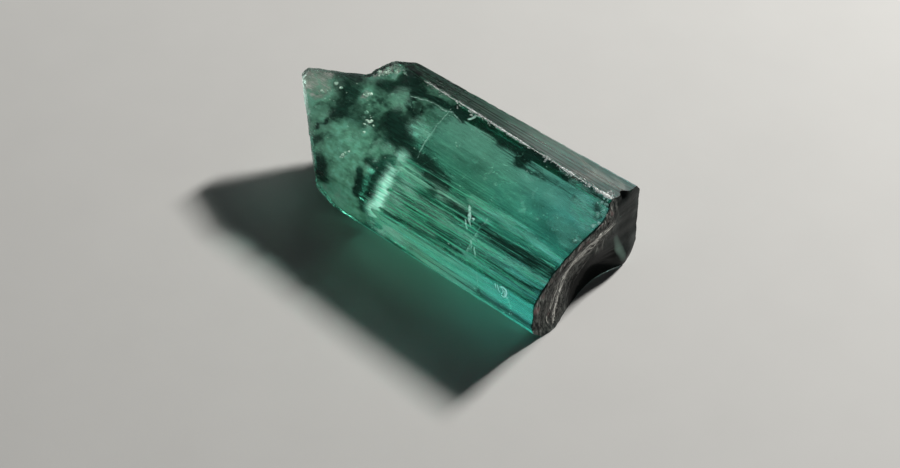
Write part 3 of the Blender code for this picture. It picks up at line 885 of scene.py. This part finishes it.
def ridge_spots():
    local = np.random.RandomState(91)
    spots = []
    for _ in range(620):
        s = -262 + 257 * local.rand()
        crowd = np.clip(fractal(noise1, np.array(s / 11.0 + 5), octaves=3) + 0.55, 0.08, 1)
        if local.rand() > crowd:
            continue
        size = (0.35 + 1.1 * crowd * local.rand() ** 1.6) * float(np.interp(s, [-240, -185], [0.40, 1.0]))
        spots.append((s, 1.2 + local.randn() * 1.3 * (0.5 + crowd), 0.0, size * 1.6, size * 0.8, 0.25 + 0.3 * size))
    for s0, q0, spread, count in ((-12, -5, 2.0, 26), (-7, -1, 1.6, 18), (-26, 2, 2.4, 16), (-60, 2, 2.4, 14), (-70, 3, 2.0, 12), (-190, 4, 3.0, 10)):
        for _ in range(count):
            size = 0.4 + 1.1 * local.rand() ** 2
            spots.append((s0 + local.randn() * spread, q0 + local.randn() * spread * 0.7, 0.1, size, size * 0.7, 0.3 * size))
    return [v for v in spots if v[0] < -3.5]


def build_break_fibres(name, material):
    """Torn fibres on the broken end, along the front of the break, just under its surface."""
    local = np.random.RandomState(63)
    outer = np.array([(-8, 88), (12, 84), (34, 76), (60, 67), (86, 58), (104, 46), (113, 30), (116, 8)], float)
    main = np.array([(-4, 70), (18, 67), (37, 63), (56, 55), (71, 42), (83, 28), (92, 13), (98, 4)], float)
    inner = np.array([(-2, 52), (17, 46), (35, 37), (50, 29), (60, 21), (70, 13), (78, 7), (84, 3)], float)
    t = np.linspace(0, 1, len(main))
    points, quads, tones, total = [], [], [], 0
    for k in range(330):
        f = local.randn() * 0.34 + 0.0 if k % 3 else local.rand() * 2 - 1
        f = float(np.clip(f, -0.95, 1.0))
        start = local.rand() * 0.85
        long = 0.08 + 0.35 * local.rand() ** 1.5
        share = np.clip(np.linspace(start, min(start + long, 1.0), 16), 0, 1)
        side = outer if f < 0 else inner
        base_u, base_w = np.interp(share, t, main[:, 0]), np.interp(share, t, main[:, 1])
        far_u, far_w = np.interp(share, t, side[:, 0]), np.interp(share, t, side[:, 1])
        lean = abs(f) + (share - start) * local.randn() * 0.5
        u = base_u + (far_u - base_u) * lean + 0.6 * noise1(share * 30 + k)
        w = base_w + (far_w - base_w) * lean + 0.6 * noise1(share * 30 + k + 9.5)
        w = np.maximum(w, 1.5)
        du, dw = np.gradient(u), np.gradient(w)
        run = np.maximum(np.hypot(du, dw), 1e-6)
        half = (0.16 + 1.0 * local.rand() ** 2.6) * np.sin(math.pi * np.linspace(0.05, 0.95, 16)) ** 0.6
        rows = []
        for sign in (-1, 1):
            ru, rw = u - sign * dw / run * half, w + sign * du / run * half
            rows.append(to_row(break_surface(ru, rw) + 0.12 + 0.16 * (k % 7) / 7.0, ru, np.maximum(rw, 1.0)))
        points.append(np.stack(rows, 1).reshape(-1, 3))
        base = total + 2 * np.arange(15)
        quads.append(np.stack([base, base + 1, base + 3, base + 2], -1))
        total += 32
        near = math.exp(-(((f - 0.02) / 0.52) ** 2)) * float(np.interp(start, [0.0, 0.55, 0.8], [1.0, 1.0, 0.6]))
        tones.append(np.full(32, np.clip(local.rand() ** (2.1 - 1.6 * near) * (0.60 + 0.44 * near), 0, 1)))
    return mesh_piece(name, np.concatenate(points), np.concatenate(quads), material, tone=np.concatenate(tones))


def build_break_shadow(name, material):
    """The dark, finely crushed layer just under the broken end."""
    u, w = np.meshgrid(np.arange(-38.0, 126.0, 1.3), np.arange(1.0, 99.0, 1.3), indexing="ij")
    ok = np.ones(u.shape, bool)
    least = np.full(u.shape, 99.0)
    for i, (_, u0, w0) in enumerate(CORNERS):
        _, u1, w1 = CORNERS[(i + 1) % len(CORNERS)]
        away = ((u - u0) * (w1 - w0) - (w - w0) * (u1 - u0)) / math.hypot(u1 - u0, w1 - w0)
        least = np.minimum(least, away)
        ok &= away > 1.0
    s = break_surface(u, w) - 1.7
    index = np.arange(u.size).reshape(u.shape)
    quads = np.stack([index[:-1, :-1], index[1:, :-1], index[1:, 1:], index[:-1, 1:]], -1).reshape(-1, 4)
    quads = quads[ok.reshape(-1)[quads].all(1)]
    used, back = np.unique(quads, return_inverse=True)
    rim = np.clip(least / 5.0, 0, 1).reshape(-1)[used]
    return mesh_piece(name, to_row(s, u, w).reshape(-1, 3)[used], back.reshape(-1, 4), material, amount=rim)


# ---------------------------------------------------------------- materials
def new_material(name):
    material = bpy.data.materials.new(name)
    material.use_nodes = True
    tree = material.node_tree
    return material, tree, tree.nodes["Principled BSDF"], tree.nodes["Material Output"]


class Tree:
    """Short names for building a node tree."""

    def __init__(self, tree):
        self.tree = tree

    def node(self, kind, **inputs):
        made = self.tree.nodes.new(kind)
        for key, value in inputs.items():
            socket = made.inputs[int(key[1:])] if key[0] == "i" and key[1:].isdigit() else made.inputs[key.replace("_", " ")]
            if isinstance(value, bpy.types.NodeSocket):
                self.tree.links.new(value, socket)
            else:
                socket.default_value = value
        return made

    def attribute(self, name):
        made = self.tree.nodes.new("ShaderNodeAttribute")
        made.attribute_name = name
        return made.outputs["Fac"]

    def maths(self, operation, a, b=0.0, clamp=False):
        made = self.node("ShaderNodeMath", i0=a, i1=b)
        made.operation = operation
        made.use_clamp = clamp
        return made.outputs[0]

    def mix(self, factor, a, b):
        made = self.tree.nodes.new("ShaderNodeMix")
        made.data_type = "RGBA"
        for socket, value in ((made.inputs[0], factor), (made.inputs[6], a), (made.inputs[7], b)):
            if isinstance(value, bpy.types.NodeSocket):
                self.tree.links.new(value, socket)
            else:
                socket.default_value = value
        return made.outputs[2]

    def ramp(self, value, *stops):
        made = self.node("ShaderNodeValToRGB", Fac=value)
        ramp = made.color_ramp
        while len(ramp.elements) < len(stops):
            ramp.elements.new(0.5)
        for element, (at, colour) in zip(ramp.elements, stops):
            element.position = at
            element.color = (*colour, 1.0) if len(colour) == 3 else colour
        return made.outputs["Color"]

    def coords(self, stretch=(1, 1, 1), shift=(0, 0, 0)):
        """Object coordinates in drawing units, stretched per axis."""
        place = self.tree.nodes.new("ShaderNodeTexCoord").outputs["Object"]
        made = self.node("ShaderNodeMapping", Vector=place, Scale=tuple(v / U for v in stretch), Location=shift)
        return made.outputs["Vector"]

    def noise(self, vector, scale, detail=3.0, rough=0.55):
        made = self.node("ShaderNodeTexNoise", Vector=vector, Scale=scale, Detail=detail, Roughness=rough)
        return made.outputs["Fac"]

    def link(self, output, socket):
        self.tree.links.new(output, socket)

    def shader_mix(self, factor, a, b):
        made = self.tree.nodes.new("ShaderNodeMixShader")
        if isinstance(factor, bpy.types.NodeSocket):
            self.tree.links.new(factor, made.inputs[0])
        else:
            made.inputs[0].default_value = factor
        self.tree.links.new(a, made.inputs[1])
        self.tree.links.new(b, made.inputs[2])
        return made.outputs[0]


def crystal_material():
    material, tree, shader, output = new_material("tourmaline")
    t = Tree(tree)
    shader.inputs["Transmission Weight"].default_value = 1.0
    shader.inputs["IOR"].default_value = 1.63
    frost, shade = t.attribute("frost"), t.attribute("shade")
    # along the crystal: grey-green at the point, green, then teal at the broken end
    where = t.node("ShaderNodeSeparateXYZ", Vector=t.coords())
    x = where.outputs["X"]
    place = t.maths("DIVIDE", t.maths("ADD", x, 196.0), 392.0, clamp=True)
    wander = t.maths("MULTIPLY", t.maths("SUBTRACT", t.noise(t.coords((1, 1, 1)), 0.020, 2.0), 0.5), 0.35)
    zone = t.ramp(
        t.maths("ADD", place, wander),
        (0.0, (0.80, 0.93, 0.86)),
        (0.25, (0.74, 0.97, 0.86)),
        (0.60, (0.68, 0.97, 0.86)),
        (0.82, (0.52, 0.95, 0.97)),
        (1.0, (0.45, 0.91, 1.0)),
    )
    streak = t.noise(t.coords((0.03, 1, 1)), 0.45, 5.0, 0.65)
    shade = t.maths("MULTIPLY", shade, t.maths("ADD", t.maths("MULTIPLY", streak, 0.9), 0.55), clamp=True)
    dim = t.mix(shade, zone, (0.02, 0.030, 0.027, 1))
    t.link(dim, shader.inputs["Base Color"])
    speck = t.noise(t.coords((0.35, 1, 1)), 0.30, 4.0)
    rough = t.maths("MULTIPLY", frost, t.maths("ADD", t.maths("MULTIPLY", speck, 0.9), 0.35))
    t.link(t.maths("ADD", rough, 0.012), shader.inputs["Roughness"])
    absorb = tree.nodes.new("ShaderNodeVolumeAbsorption")
    absorb.inputs["Color"].default_value = (0.18, 0.64, 0.54, 1)
    absorb.inputs["Density"].default_value = 230.0
    tree.links.new(absorb.outputs["Volume"], output.inputs["Volume"])
    # lamps shine through, by as much as each face lets pass
    pass_on = t.node("ShaderNodeBsdfTransparent", Color=t.attribute("let")).outputs[0]
    lamp = tree.nodes.new("ShaderNodeLightPath").outputs["Is Shadow Ray"]
    t.link(t.shader_mix(lamp, shader.outputs[0], pass_on), output.inputs["Surface"])
    return material


def sheet_material(name, colour, alpha, rough=0.5, glow=0.45, metallic=0.0, gloss=0.06):
    """A thin sealed sheet: part lit from behind, part from the front, with see-through gaps."""
    material, tree, shader, output = new_material(name)
    t = Tree(tree)
    colour = colour(t)
    t.link(colour, shader.inputs["Base Color"])
    shader.inputs["Roughness"].default_value = rough
    shader.inputs["Metallic"].default_value = metallic
    shader.inputs["Specular IOR Level"].default_value = gloss
    lit = shader.outputs[0]
    if glow > 0:
        behind = t.node("ShaderNodeBsdfTranslucent", Color=colour).outputs[0]
        lit = t.shader_mix(glow, lit, behind)
    clear = tree.nodes.new("ShaderNodeBsdfTransparent").outputs[0]
    t.link(t.shader_mix(alpha(t), clear, lit), output.inputs["Surface"])
    return material


def fine(t, stretch, scale, low, high, detail=4.0):
    """Noise between low and high as 0 to 1."""
    return t.node("ShaderNodeMapRange", Value=t.noise(t.coords(stretch), scale, detail, 0.6), From_Min=low, From_Max=high).outputs["Result"]


def painted_shade_veil_material():
    # painted shade: near-black sheets where the crystal shows dark reflections
    def colour(t):
        return t.mix(fine(t, (0.12, 1, 1), 0.55, 0.35, 0.65), (0.004, 0.014, 0.010, 1), (0.012, 0.045, 0.032, 1))

    def alpha(t):
        streak = fine(t, (0.10, 1.3, 1.3), 0.65, 0.25, 0.60)
        body = t.maths("MULTIPLY", t.attribute("amount"), t.maths("ADD", t.maths("MULTIPLY", streak, 0.9), 0.75))
        return t.maths("MULTIPLY", body, 1.0, clamp=True)

    return sheet_material("painted_shade_veil", colour, alpha, rough=0.6, glow=0.1)


def pale_veil_and_light_material():
    # partly painted light: where the sheets lie on the band and along the toe edge
    def colour(t):
        x = t.node("ShaderNodeSeparateXYZ", Vector=t.coords()).outputs["X"]
        along = t.node("ShaderNodeMapRange", Value=x, From_Min=-150.0, From_Max=-60.0).outputs["Result"]
        mint = t.mix(fine(t, (0.3, 1, 1), 0.4, 0.3, 0.7), (0.32, 0.66, 0.52, 1), (0.60, 0.86, 0.74, 1))
        grey = t.mix(fine(t, (0.6, 1, 1), 0.4, 0.3, 0.7), (0.15, 0.30, 0.22, 1), (0.36, 0.50, 0.42, 1))
        return t.mix(along, grey, mint)

    def alpha(t):
        streak = fine(t, (0.12, 1.4, 1.4), 0.8, 0.30, 0.62)
        return t.maths("MULTIPLY", t.attribute("amount"), t.maths("ADD", t.maths("MULTIPLY", streak, 0.6), 0.12), clamp=True)

    return sheet_material("pale_veil_and_light", colour, alpha, rough=0.5, glow=0.5)


def cloud_material():
    def colour(t):
        big = fine(t, (0.7, 1, 1), 0.045, 0.36, 0.64, 5.0)
        small = fine(t, (0.25, 1, 1), 0.30, 0.30, 0.70, 5.0)
        olive = fine(t, (0.8, 1, 1), 0.022, 0.50, 0.66, 3.0)
        far = t.mix(big, (0.008, 0.036, 0.026, 1), t.mix(olive, (0.04, 0.20, 0.145, 1), (0.075, 0.18, 0.085, 1)))
        mottle = t.maths("MULTIPLY", t.maths("SUBTRACT", fine(t, (0.7, 1, 1), 0.20, 0.25, 0.75, 6.0), 0.5), 0.34)
        near = t.ramp(
            t.maths("ADD", t.attribute("tone"), mottle),
            (0.0, (0.006, 0.015, 0.011)),
            (0.25, (0.034, 0.072, 0.053)),
            (0.50, (0.19, 0.37, 0.275)),
            (0.65, (0.27, 0.54, 0.43)),
            (0.76, (0.36, 0.50, 0.42)),
            (0.86, (0.62, 0.50, 0.49)),
            (1.0, (0.90, 0.66, 0.68)),
        )
        both = t.mix(t.attribute("near"), far, near)
        return t.mix(t.maths("MULTIPLY", small, 0.30), both, (0.02, 0.06, 0.045, 1))

    def alpha(t):
        big = fine(t, (0.5, 1, 1), 0.07, 0.30, 0.66, 5.0)
        streak = fine(t, (0.08, 1, 1), 0.45, 0.32, 0.62, 4.0)
        body = t.maths("ADD", t.maths("MULTIPLY", big, 0.9), t.maths("MULTIPLY", streak, 0.5))
        thick = t.maths("ADD", t.maths("MULTIPLY", t.attribute("near"), 0.6), body)
        return t.maths("MULTIPLY", t.attribute("amount"), thick, clamp=True)

    return sheet_material("milky_cloud", colour, alpha, rough=0.5, glow=0.3)


def speck_material():
    def colour(t):
        return t.mix(fine(t, (1, 1, 1), 0.12, 0.4, 0.6), (0.24, 0.42, 0.34, 1), (0.95, 0.95, 0.90, 1))

    return sheet_material("bright_speck", colour, lambda t: t.maths("ADD", fine(t, (1, 1, 1), 0.9, 0.3, 0.6), 0.5, clamp=True), rough=0.3, glow=0.5)


def tube_material():
    def colour(t):
        return t.mix(t.attribute("tone"), (0.003, 0.018, 0.012, 1), (0.20, 0.68, 0.48, 1))

    def alpha(t):
        return t.maths("MULTIPLY", t.attribute("amount"), t.maths("ADD", fine(t, (0.08, 1, 1), 0.5, 0.3, 0.6), 0.15), clamp=True)

    return sheet_material("growth_tube", colour, alpha, rough=0.4, glow=0.4)


def band_light_material():
    # painted light: the band's bright mint-white glow
    def colour(t):
        return t.mix(fine(t, (0.10, 1, 1), 0.55, 0.30, 0.66), (0.26, 0.78, 0.58, 1), (0.80, 1.0, 0.92, 1))

    def alpha(t):
        streak = fine(t, (0.04, 1, 1), 0.80, 0.34, 0.60)
        return t.maths("MULTIPLY", t.attribute("amount"), t.maths("ADD", t.maths("MULTIPLY", streak, 0.48), 0.46), clamp=True)

    return sheet_material("painted_light_band", colour, alpha, rough=0.5, glow=0.0)


def haze_and_sheen_material():
    # partly painted sheen: a pinkish grey that turns the strip's green to the grey of its reflection
    def colour(t):
        return t.mix(fine(t, (0.02, 1, 1), 1.0, 0.3, 0.7), (0.40, 0.21, 0.17, 1), (0.95, 0.54, 0.45, 1))

    def alpha(t):
        streak = fine(t, (0.02, 1, 1), 0.8, 0.30, 0.62)
        return t.maths("MULTIPLY", t.attribute("amount"), t.maths("ADD", t.maths("MULTIPLY", streak, 0.7), 0.35), clamp=True)

    return sheet_material("strip_haze_and_sheen", colour, alpha, rough=0.5, glow=0.2)


def line_and_light_material():
    # partly painted light: on the lower face these sheets brighten it
    def colour(t):
        x = t.node("ShaderNodeSeparateXYZ", Vector=t.coords()).outputs["X"]
        teal = t.node("ShaderNodeMapRange", Value=x, From_Min=60.0, From_Max=190.0).outputs["Result"]
        return t.mix(teal, (0.36, 0.66, 0.52, 1), (0.19, 0.66, 0.63, 1))

    def alpha(t):
        broad = fine(t, (0.012, 1, 1), 0.26, 0.40, 0.60, 2.0)
        streak = fine(t, (0.010, 1, 1), 1.10, 0.46, 0.66, 2.0)
        both = t.maths("ADD", t.maths("MULTIPLY", broad, 0.72), t.maths("MULTIPLY", streak, 0.36))
        return t.maths("MULTIPLY", t.attribute("amount"), both, clamp=True)

    return sheet_material("mint_lines_and_light", colour, alpha, rough=0.5, glow=0.2)


def crack_and_light_material():
    # bright crack colour; on the basal cracks of the band and the crack along the toe edge it is painted light
    def colour(t):
        return t.mix(fine(t, (1, 1, 1), 0.6, 0.35, 0.65), (0.55, 0.86, 0.74, 1), (0.93, 1.0, 0.96, 1))

    def alpha(t):
        return t.maths("MULTIPLY", t.attribute("amount"), t.maths("ADD", fine(t, (1, 1, 1), 0.9, 0.35, 0.6), 0.25), clamp=True)

    return sheet_material("bright_crack", colour, alpha, rough=0.3, glow=0.15, gloss=0.5)


def curl_material():
    def colour(t):
        return t.mix(fine(t, (1, 1, 1), 0.6, 0.35, 0.65), (0.50, 0.90, 0.82, 1), (0.93, 1.0, 0.97, 1))

    return sheet_material("curl", colour, lambda t: t.maths("ADD", fine(t, (1, 1, 1), 0.9, 0.3, 0.6), 0.7, clamp=True), rough=0.3, glow=0.0, gloss=0.5)


def scratch_material():
    def colour(t):
        return t.mix(fine(t, (1, 1, 1), 0.1, 0.4, 0.6), (0.20, 0.50, 0.36, 1), (0.50, 0.86, 0.70, 1))

    return sheet_material("fine_scratch", colour, lambda t: t.maths("MULTIPLY", t.attribute("amount"), fine(t, (1, 1, 1), 0.5, 0.2, 0.6)), rough=0.4, glow=0.1)


def chip_material():
    def colour(t):
        return t.mix(fine(t, (1, 1, 1), 0.5, 0.35, 0.65), (0.16, 0.18, 0.17, 1), (0.72, 0.74, 0.71, 1))

    def alpha(t):
        return t.maths("ADD", fine(t, (1, 1, 1), 1.1, 0.30, 0.55), 0.45, clamp=True)

    return sheet_material("crushed_edge", colour, alpha, rough=0.35, glow=0.1, gloss=0.4)


def fibre_material():
    def colour(t):
        return t.ramp(
            t.attribute("tone"), (0.0, (0.006, 0.007, 0.006)), (0.45, (0.045, 0.044, 0.040)), (0.75, (0.21, 0.205, 0.185)), (1.0, (0.68, 0.66, 0.60))
        )

    def alpha(t):
        return t.maths("ADD", fine(t, (1, 1, 1), 0.5, 0.3, 0.6), 0.25, clamp=True)

    return sheet_material("torn_fibre", colour, alpha, rough=0.45, glow=0.0, gloss=0.3)


def break_material():
    """The broken end: dark and glassy, grey-brown where it is torn into fibres along the front."""
    material, tree, shader, output = new_material("broken_end")
    t = Tree(tree)
    where = t.node("ShaderNodeSeparateXYZ", Vector=t.coords())
    u = t.maths("SUBTRACT", ORIGIN_U, where.outputs["Y"])
    w = where.outputs["Z"]
    # across the torn zone: 0 at the back, 1 at the front edge
    torn = t.maths("ADD", t.maths("MULTIPLY", u, 0.0115), t.maths("MULTIPLY", w, 0.0125))
    torn = t.maths("ADD", torn, t.maths("MULTIPLY", t.maths("SUBTRACT", t.noise(t.coords(), 0.06, 3.0), 0.5), 0.6))
    torn = t.node("ShaderNodeMapRange", Value=torn, From_Min=0.62, From_Max=1.02).outputs["Result"]
    torn = t.maths("MULTIPLY", torn, t.node("ShaderNodeMapRange", Value=u, From_Min=-8.0, From_Max=12.0).outputs["Result"])
    torn = t.maths("MULTIPLY", torn, t.node("ShaderNodeMapRange", Value=w, From_Min=0.0, From_Max=22.0, To_Min=0.45).outputs["Result"])
    # the tears run down along the front of the break
    turn = t.node("ShaderNodeMapping", Vector=t.coords(), Rotation=(0.72, 0.0, 0.0), Scale=(1.0, 1.0, 0.16)).outputs["Vector"]
    grain = t.noise(turn, 0.42, 5.0, 0.65)
    hair = t.ramp(grain, (0.34, (0.004, 0.005, 0.0045)), (0.46, (0.020, 0.022, 0.020)), (0.58, (0.125, 0.128, 0.115)), (0.72, (0.48, 0.475, 0.435)))
    low = t.node("ShaderNodeMapRange", Value=w, From_Min=8.0, From_Max=58.0, To_Min=0.62).outputs["Result"]
    hair = t.mix(low, (0.012, 0.014, 0.013, 1), hair)
    pink = t.node("ShaderNodeMapRange", Value=t.noise(t.coords(), 0.10, 2.0), From_Min=0.58, From_Max=0.70).outputs["Result"]
    hair = t.mix(t.maths("MULTIPLY", pink, 0.5), hair, (0.16, 0.085, 0.085, 1))
    cloud = t.noise(t.coords(), 0.05, 4.0)
    glass = t.ramp(cloud, (0.35, (0.004, 0.006, 0.0055)), (0.55, (0.016, 0.019, 0.018)), (0.72, (0.040, 0.046, 0.043)))
    # painted shade: black in the hollow above the base and in the nick at the end of the top strip
    dark = None
    for cu, cw, wide, high in ((30.0, 16.0, 44.0, 26.0), (-14.0, 98.0, 6.0, 7.5)):
        du = t.maths("DIVIDE", t.maths("SUBTRACT", u, cu), wide)
        dw = t.maths("DIVIDE", t.maths("SUBTRACT", w, cw), high)
        away = t.maths("ADD", t.maths("MULTIPLY", du, du), t.maths("MULTIPLY", dw, dw))
        away = t.maths("ADD", away, t.maths("MULTIPLY", t.maths("SUBTRACT", cloud, 0.5), 0.9))
        spot = t.node("ShaderNodeMapRange", Value=away, From_Min=1.15, From_Max=0.55).outputs["Result"]
        dark = spot if dark is None else t.maths("MAXIMUM", dark, spot)
    both = t.mix(t.maths("MULTIPLY", dark, 0.96), t.mix(torn, glass, hair), (0.0012, 0.0016, 0.0015, 1))
    # a painted highlight: the pale glossy fold beside the hollow
    painted_fold_highlight = t.maths("ADD", t.maths("SUBTRACT", u, -8.0), t.maths("MULTIPLY", t.maths("SUBTRACT", w, 28.0), -0.28))
    painted_fold_highlight = t.maths("ADD", t.maths("POWER", t.maths("DIVIDE", painted_fold_highlight, 4.4), 2.0), t.maths("POWER", t.maths("DIVIDE", t.maths("SUBTRACT", w, 27.0), 20.0), 2.0))
    painted_fold_highlight = t.maths("ADD", painted_fold_highlight, t.maths("MULTIPLY", t.maths("SUBTRACT", t.noise(t.coords(), 0.10, 2.0), 0.5), 1.3))
    painted_fold_highlight = t.node("ShaderNodeMapRange", Value=painted_fold_highlight, From_Min=1.5, From_Max=-0.1).outputs["Result"]
    both = t.mix(t.maths("MULTIPLY", painted_fold_highlight, 0.85), both, (0.10, 0.145, 0.122, 1))
    t.link(both, shader.inputs["Base Color"])
    t.link(t.node("ShaderNodeMapRange", Value=torn, To_Min=0.24, To_Max=0.55).outputs["Result"], shader.inputs["Roughness"])
    shader.inputs["IOR"].default_value = 1.16
    bump = t.node("ShaderNodeBump", Height=grain, Strength=t.maths("MULTIPLY", torn, 0.5), Distance=0.00006)
    t.link(bump.outputs["Normal"], shader.inputs["Normal"])
    return material


def break_shadow_material():
    def colour(t):
        cloud = fine(t, (1, 1, 1), 0.035, 0.35, 0.68, 3.0)
        grain = fine(t, (1, 1, 1), 0.35, 0.3, 0.7)
        low = t.mix(grain, (0.002, 0.004, 0.0035, 1), (0.006, 0.009, 0.008, 1))
        return t.mix(cloud, low, t.mix(grain, (0.010, 0.014, 0.012, 1), (0.028, 0.032, 0.029, 1)))

    def alpha(t):
        return t.maths("MULTIPLY", t.attribute("amount"), 0.96)

    return sheet_material("crushed_break", colour, alpha, rough=0.6, glow=0.0)


def floor_material():
    material, tree, shader, output = new_material("pale_floor")
    t = Tree(tree)
    grain = t.maths("ADD", t.maths("MULTIPLY", t.noise(t.coords(), 0.9, 4.0), 0.5), t.maths("MULTIPLY", t.noise(t.coords(), 0.012, 4.0), 0.5))
    t.link(t.mix(grain, (0.485, 0.485, 0.472, 1), (0.555, 0.555, 0.540, 1)), shader.inputs["Base Color"])
    shader.inputs["Roughness"].default_value = 0.75
    return material


# ---------------------------------------------------------------- the studio
def build_stage():
    bpy.ops.mesh.primitive_plane_add(size=1.6, location=(0, 0, -0.00003))
    floor = bpy.context.active_object
    floor.name = "floor"
    floor.data.materials.append(floor_material())
    return floor


def area_light(name, azimuth, elevation, distance, size, watts, colour, size_y=None):
    """A soft light that faces the crystal. Azimuth 0 is +Y and turns towards -X."""
    a, e = math.radians(azimuth), math.radians(elevation)
    place = Vector((-math.sin(a) * math.cos(e), math.cos(a) * math.cos(e), math.sin(e))) * distance
    data = bpy.data.lights.new(name, "AREA")
    data.shape = "RECTANGLE"
    data.size, data.size_y = size, size_y or size
    data.energy = watts
    data.color = colour
    light = bpy.data.objects.new(name, data)
    light.location = place
    light.rotation_euler = (-place).to_track_quat("-Z", "Y").to_euler()
    bpy.context.scene.collection.objects.link(light)
    return light


def build_light(floor):
    """One small lamp low behind the crystal, soft boxes flagged off the floor, and a faint even fill."""
    key = area_light("key", -2, 24, 0.45, 0.045, 4.6, (1.0, 0.98, 0.95))
    key.visible_transmission = False
    flag = bpy.data.collections.new("flagged_off")
    flag.objects.link(floor)
    flag.collection_objects[0].light_linking.link_state = "EXCLUDE"
    for name, azimuth, elevation, size, power in (
        ("box_left", 45, 50, 0.26, 0.46),
        ("box_front", 145.8, 33.3, 0.22, 0.10),
        ("box_right", -45, 50, 0.22, 0.26),
    ):
        box = area_light(name, azimuth, elevation, 0.5, size, power, (0.93, 0.97, 1.0))
        box.light_linking.receiver_collection = flag
        box.visible_camera = False
        box.visible_glossy = name == "box_right"
    # lights the sealed-in pieces and the break, without a reflection of its own
    fill = area_light("fill", -140, 36, 0.5, 0.30, 2.2, (0.97, 1.0, 0.99))
    fill.light_linking.receiver_collection = flag
    fill.visible_camera = fill.visible_glossy = fill.visible_transmission = False
    world = bpy.data.worlds.new("studio")
    bpy.context.scene.world = world
    world.use_nodes = True
    back = world.node_tree.nodes["Background"]
    back.inputs["Color"].default_value = (0.88, 0.93, 0.97, 1)
    back.inputs["Strength"].default_value = 0.04


def build_camera():
    data = bpy.data.cameras.new("camera")
    data.sensor_width = 36.0
    data.lens = 100.0
    data.clip_start = 0.001
    data.clip_end = 10.0
    camera = bpy.data.objects.new("camera", data)
    camera.location = to_row(1037.61, 1408.12, 1793.93)
    camera.rotation_euler = (math.radians(45.0), 0.0, math.radians(41.7))
    bpy.context.scene.collection.objects.link(camera)
    bpy.context.scene.camera = camera


build_camera()
build_light(build_stage())

body = build_body()
body.data.materials.append(crystal_material())
body.data.materials.append(break_material())
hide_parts("tourmaline_crystal")
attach(body, "root")

dark, pale, tube, crack = painted_shade_veil_material(), pale_veil_and_light_material(), tube_material(), crack_and_light_material()
# painted shade in the crystal
build_veil("painted_shade_veil", DARK_MARKS, 3.2, dark)
build_veil("pale_veil_and_light", PALE_AND_LIGHT_MARKS, 2.2, pale)
build_tubes("dark_needles", tube, 21, 1300, from_marks(DARK_MARKS, 0.7), (8, 46), (0.25, 1.1), (1.6, 14.0), lambda r: 0.10 * r.rand())
build_tubes("pale_needles", tube, 22, 500, from_marks(PALE_AND_LIGHT_MARKS), (5, 26), (0.18, 0.7), (1.5, 6.0), lambda r: 0.7 + 0.3 * r.rand())
build_tubes(
    "growth_tubes",
    tube,
    23,
    430,
    anywhere((-222, -4), (58, 137), 0.55),
    (30, 190),
    (0.15, 1.0),
    (1.6, 26.0),
    lambda r: (0.0 if r.rand() < 0.6 else 0.75) + 0.2 * r.rand(),
)
build_tubes("lower_tubes", tube, 26, 110, anywhere((-200, -4), (134, 178), 0.5), (30, 160), (0.15, 0.8), (1.6, 20.0), lambda r: 0.0 if r.rand() < 0.5 else 0.9)
build_tubes("bright_tubes", tube, 24, 330, anywhere((-214, -4), (70, 132), 1.0), (22, 130), (0.2, 1.3), (1.5, 7.0), lambda r: 0.75 + 0.25 * r.rand())
build_tubes("fine_tubes", tube, 25, 420, anywhere((-235, -4), (128, 178), 0.8), (8, 60), (0.12, 0.5), (1.5, 5.0), lambda r: 0.7 + 0.3 * r.rand())
build_clouds("milky_clouds", cloud_material())
build_flakes("bright_specks", speck_material(), 33, speck_spots())
build_crushed_ridge("crushed_ridge", chip_material())
# painted light: the bright band
build_veil("bright_band", BAND_LIGHT_MARKS, 1.5, band_light_material(), step=(0.9, 0.6), ragged=2.6, soft_edge=True)
build_veil("mint_lines_and_light", LINE_AND_LIGHT_MARKS, 2.4, line_and_light_material(), step=(1.6, 0.9))
build_veil("strip_haze_and_sheen", STRIP_MARKS, 1.0, haze_and_sheen_material(), step=(2.0, 0.9))
build_cracks("bright_cracks", crack)
build_scratches("fine_scratches", scratch_material())
build_basal_cracks("basal_cracks", crack)
build_fingerprint("curled_inclusion", curl_material())
build_flakes("ridge_chips", chip_material(), 31, ridge_spots())
build_break_fibres("break_fibres", fibre_material())
build_break_shadow("break_shadow", break_shadow_material())

scene = bpy.context.scene
scene.view_settings.view_transform = "Standard"
scene.view_settings.look = "None"
scene.cycles.max_bounces = 20
scene.cycles.transmission_bounces = 20
scene.cycles.transparent_max_bounces = 24
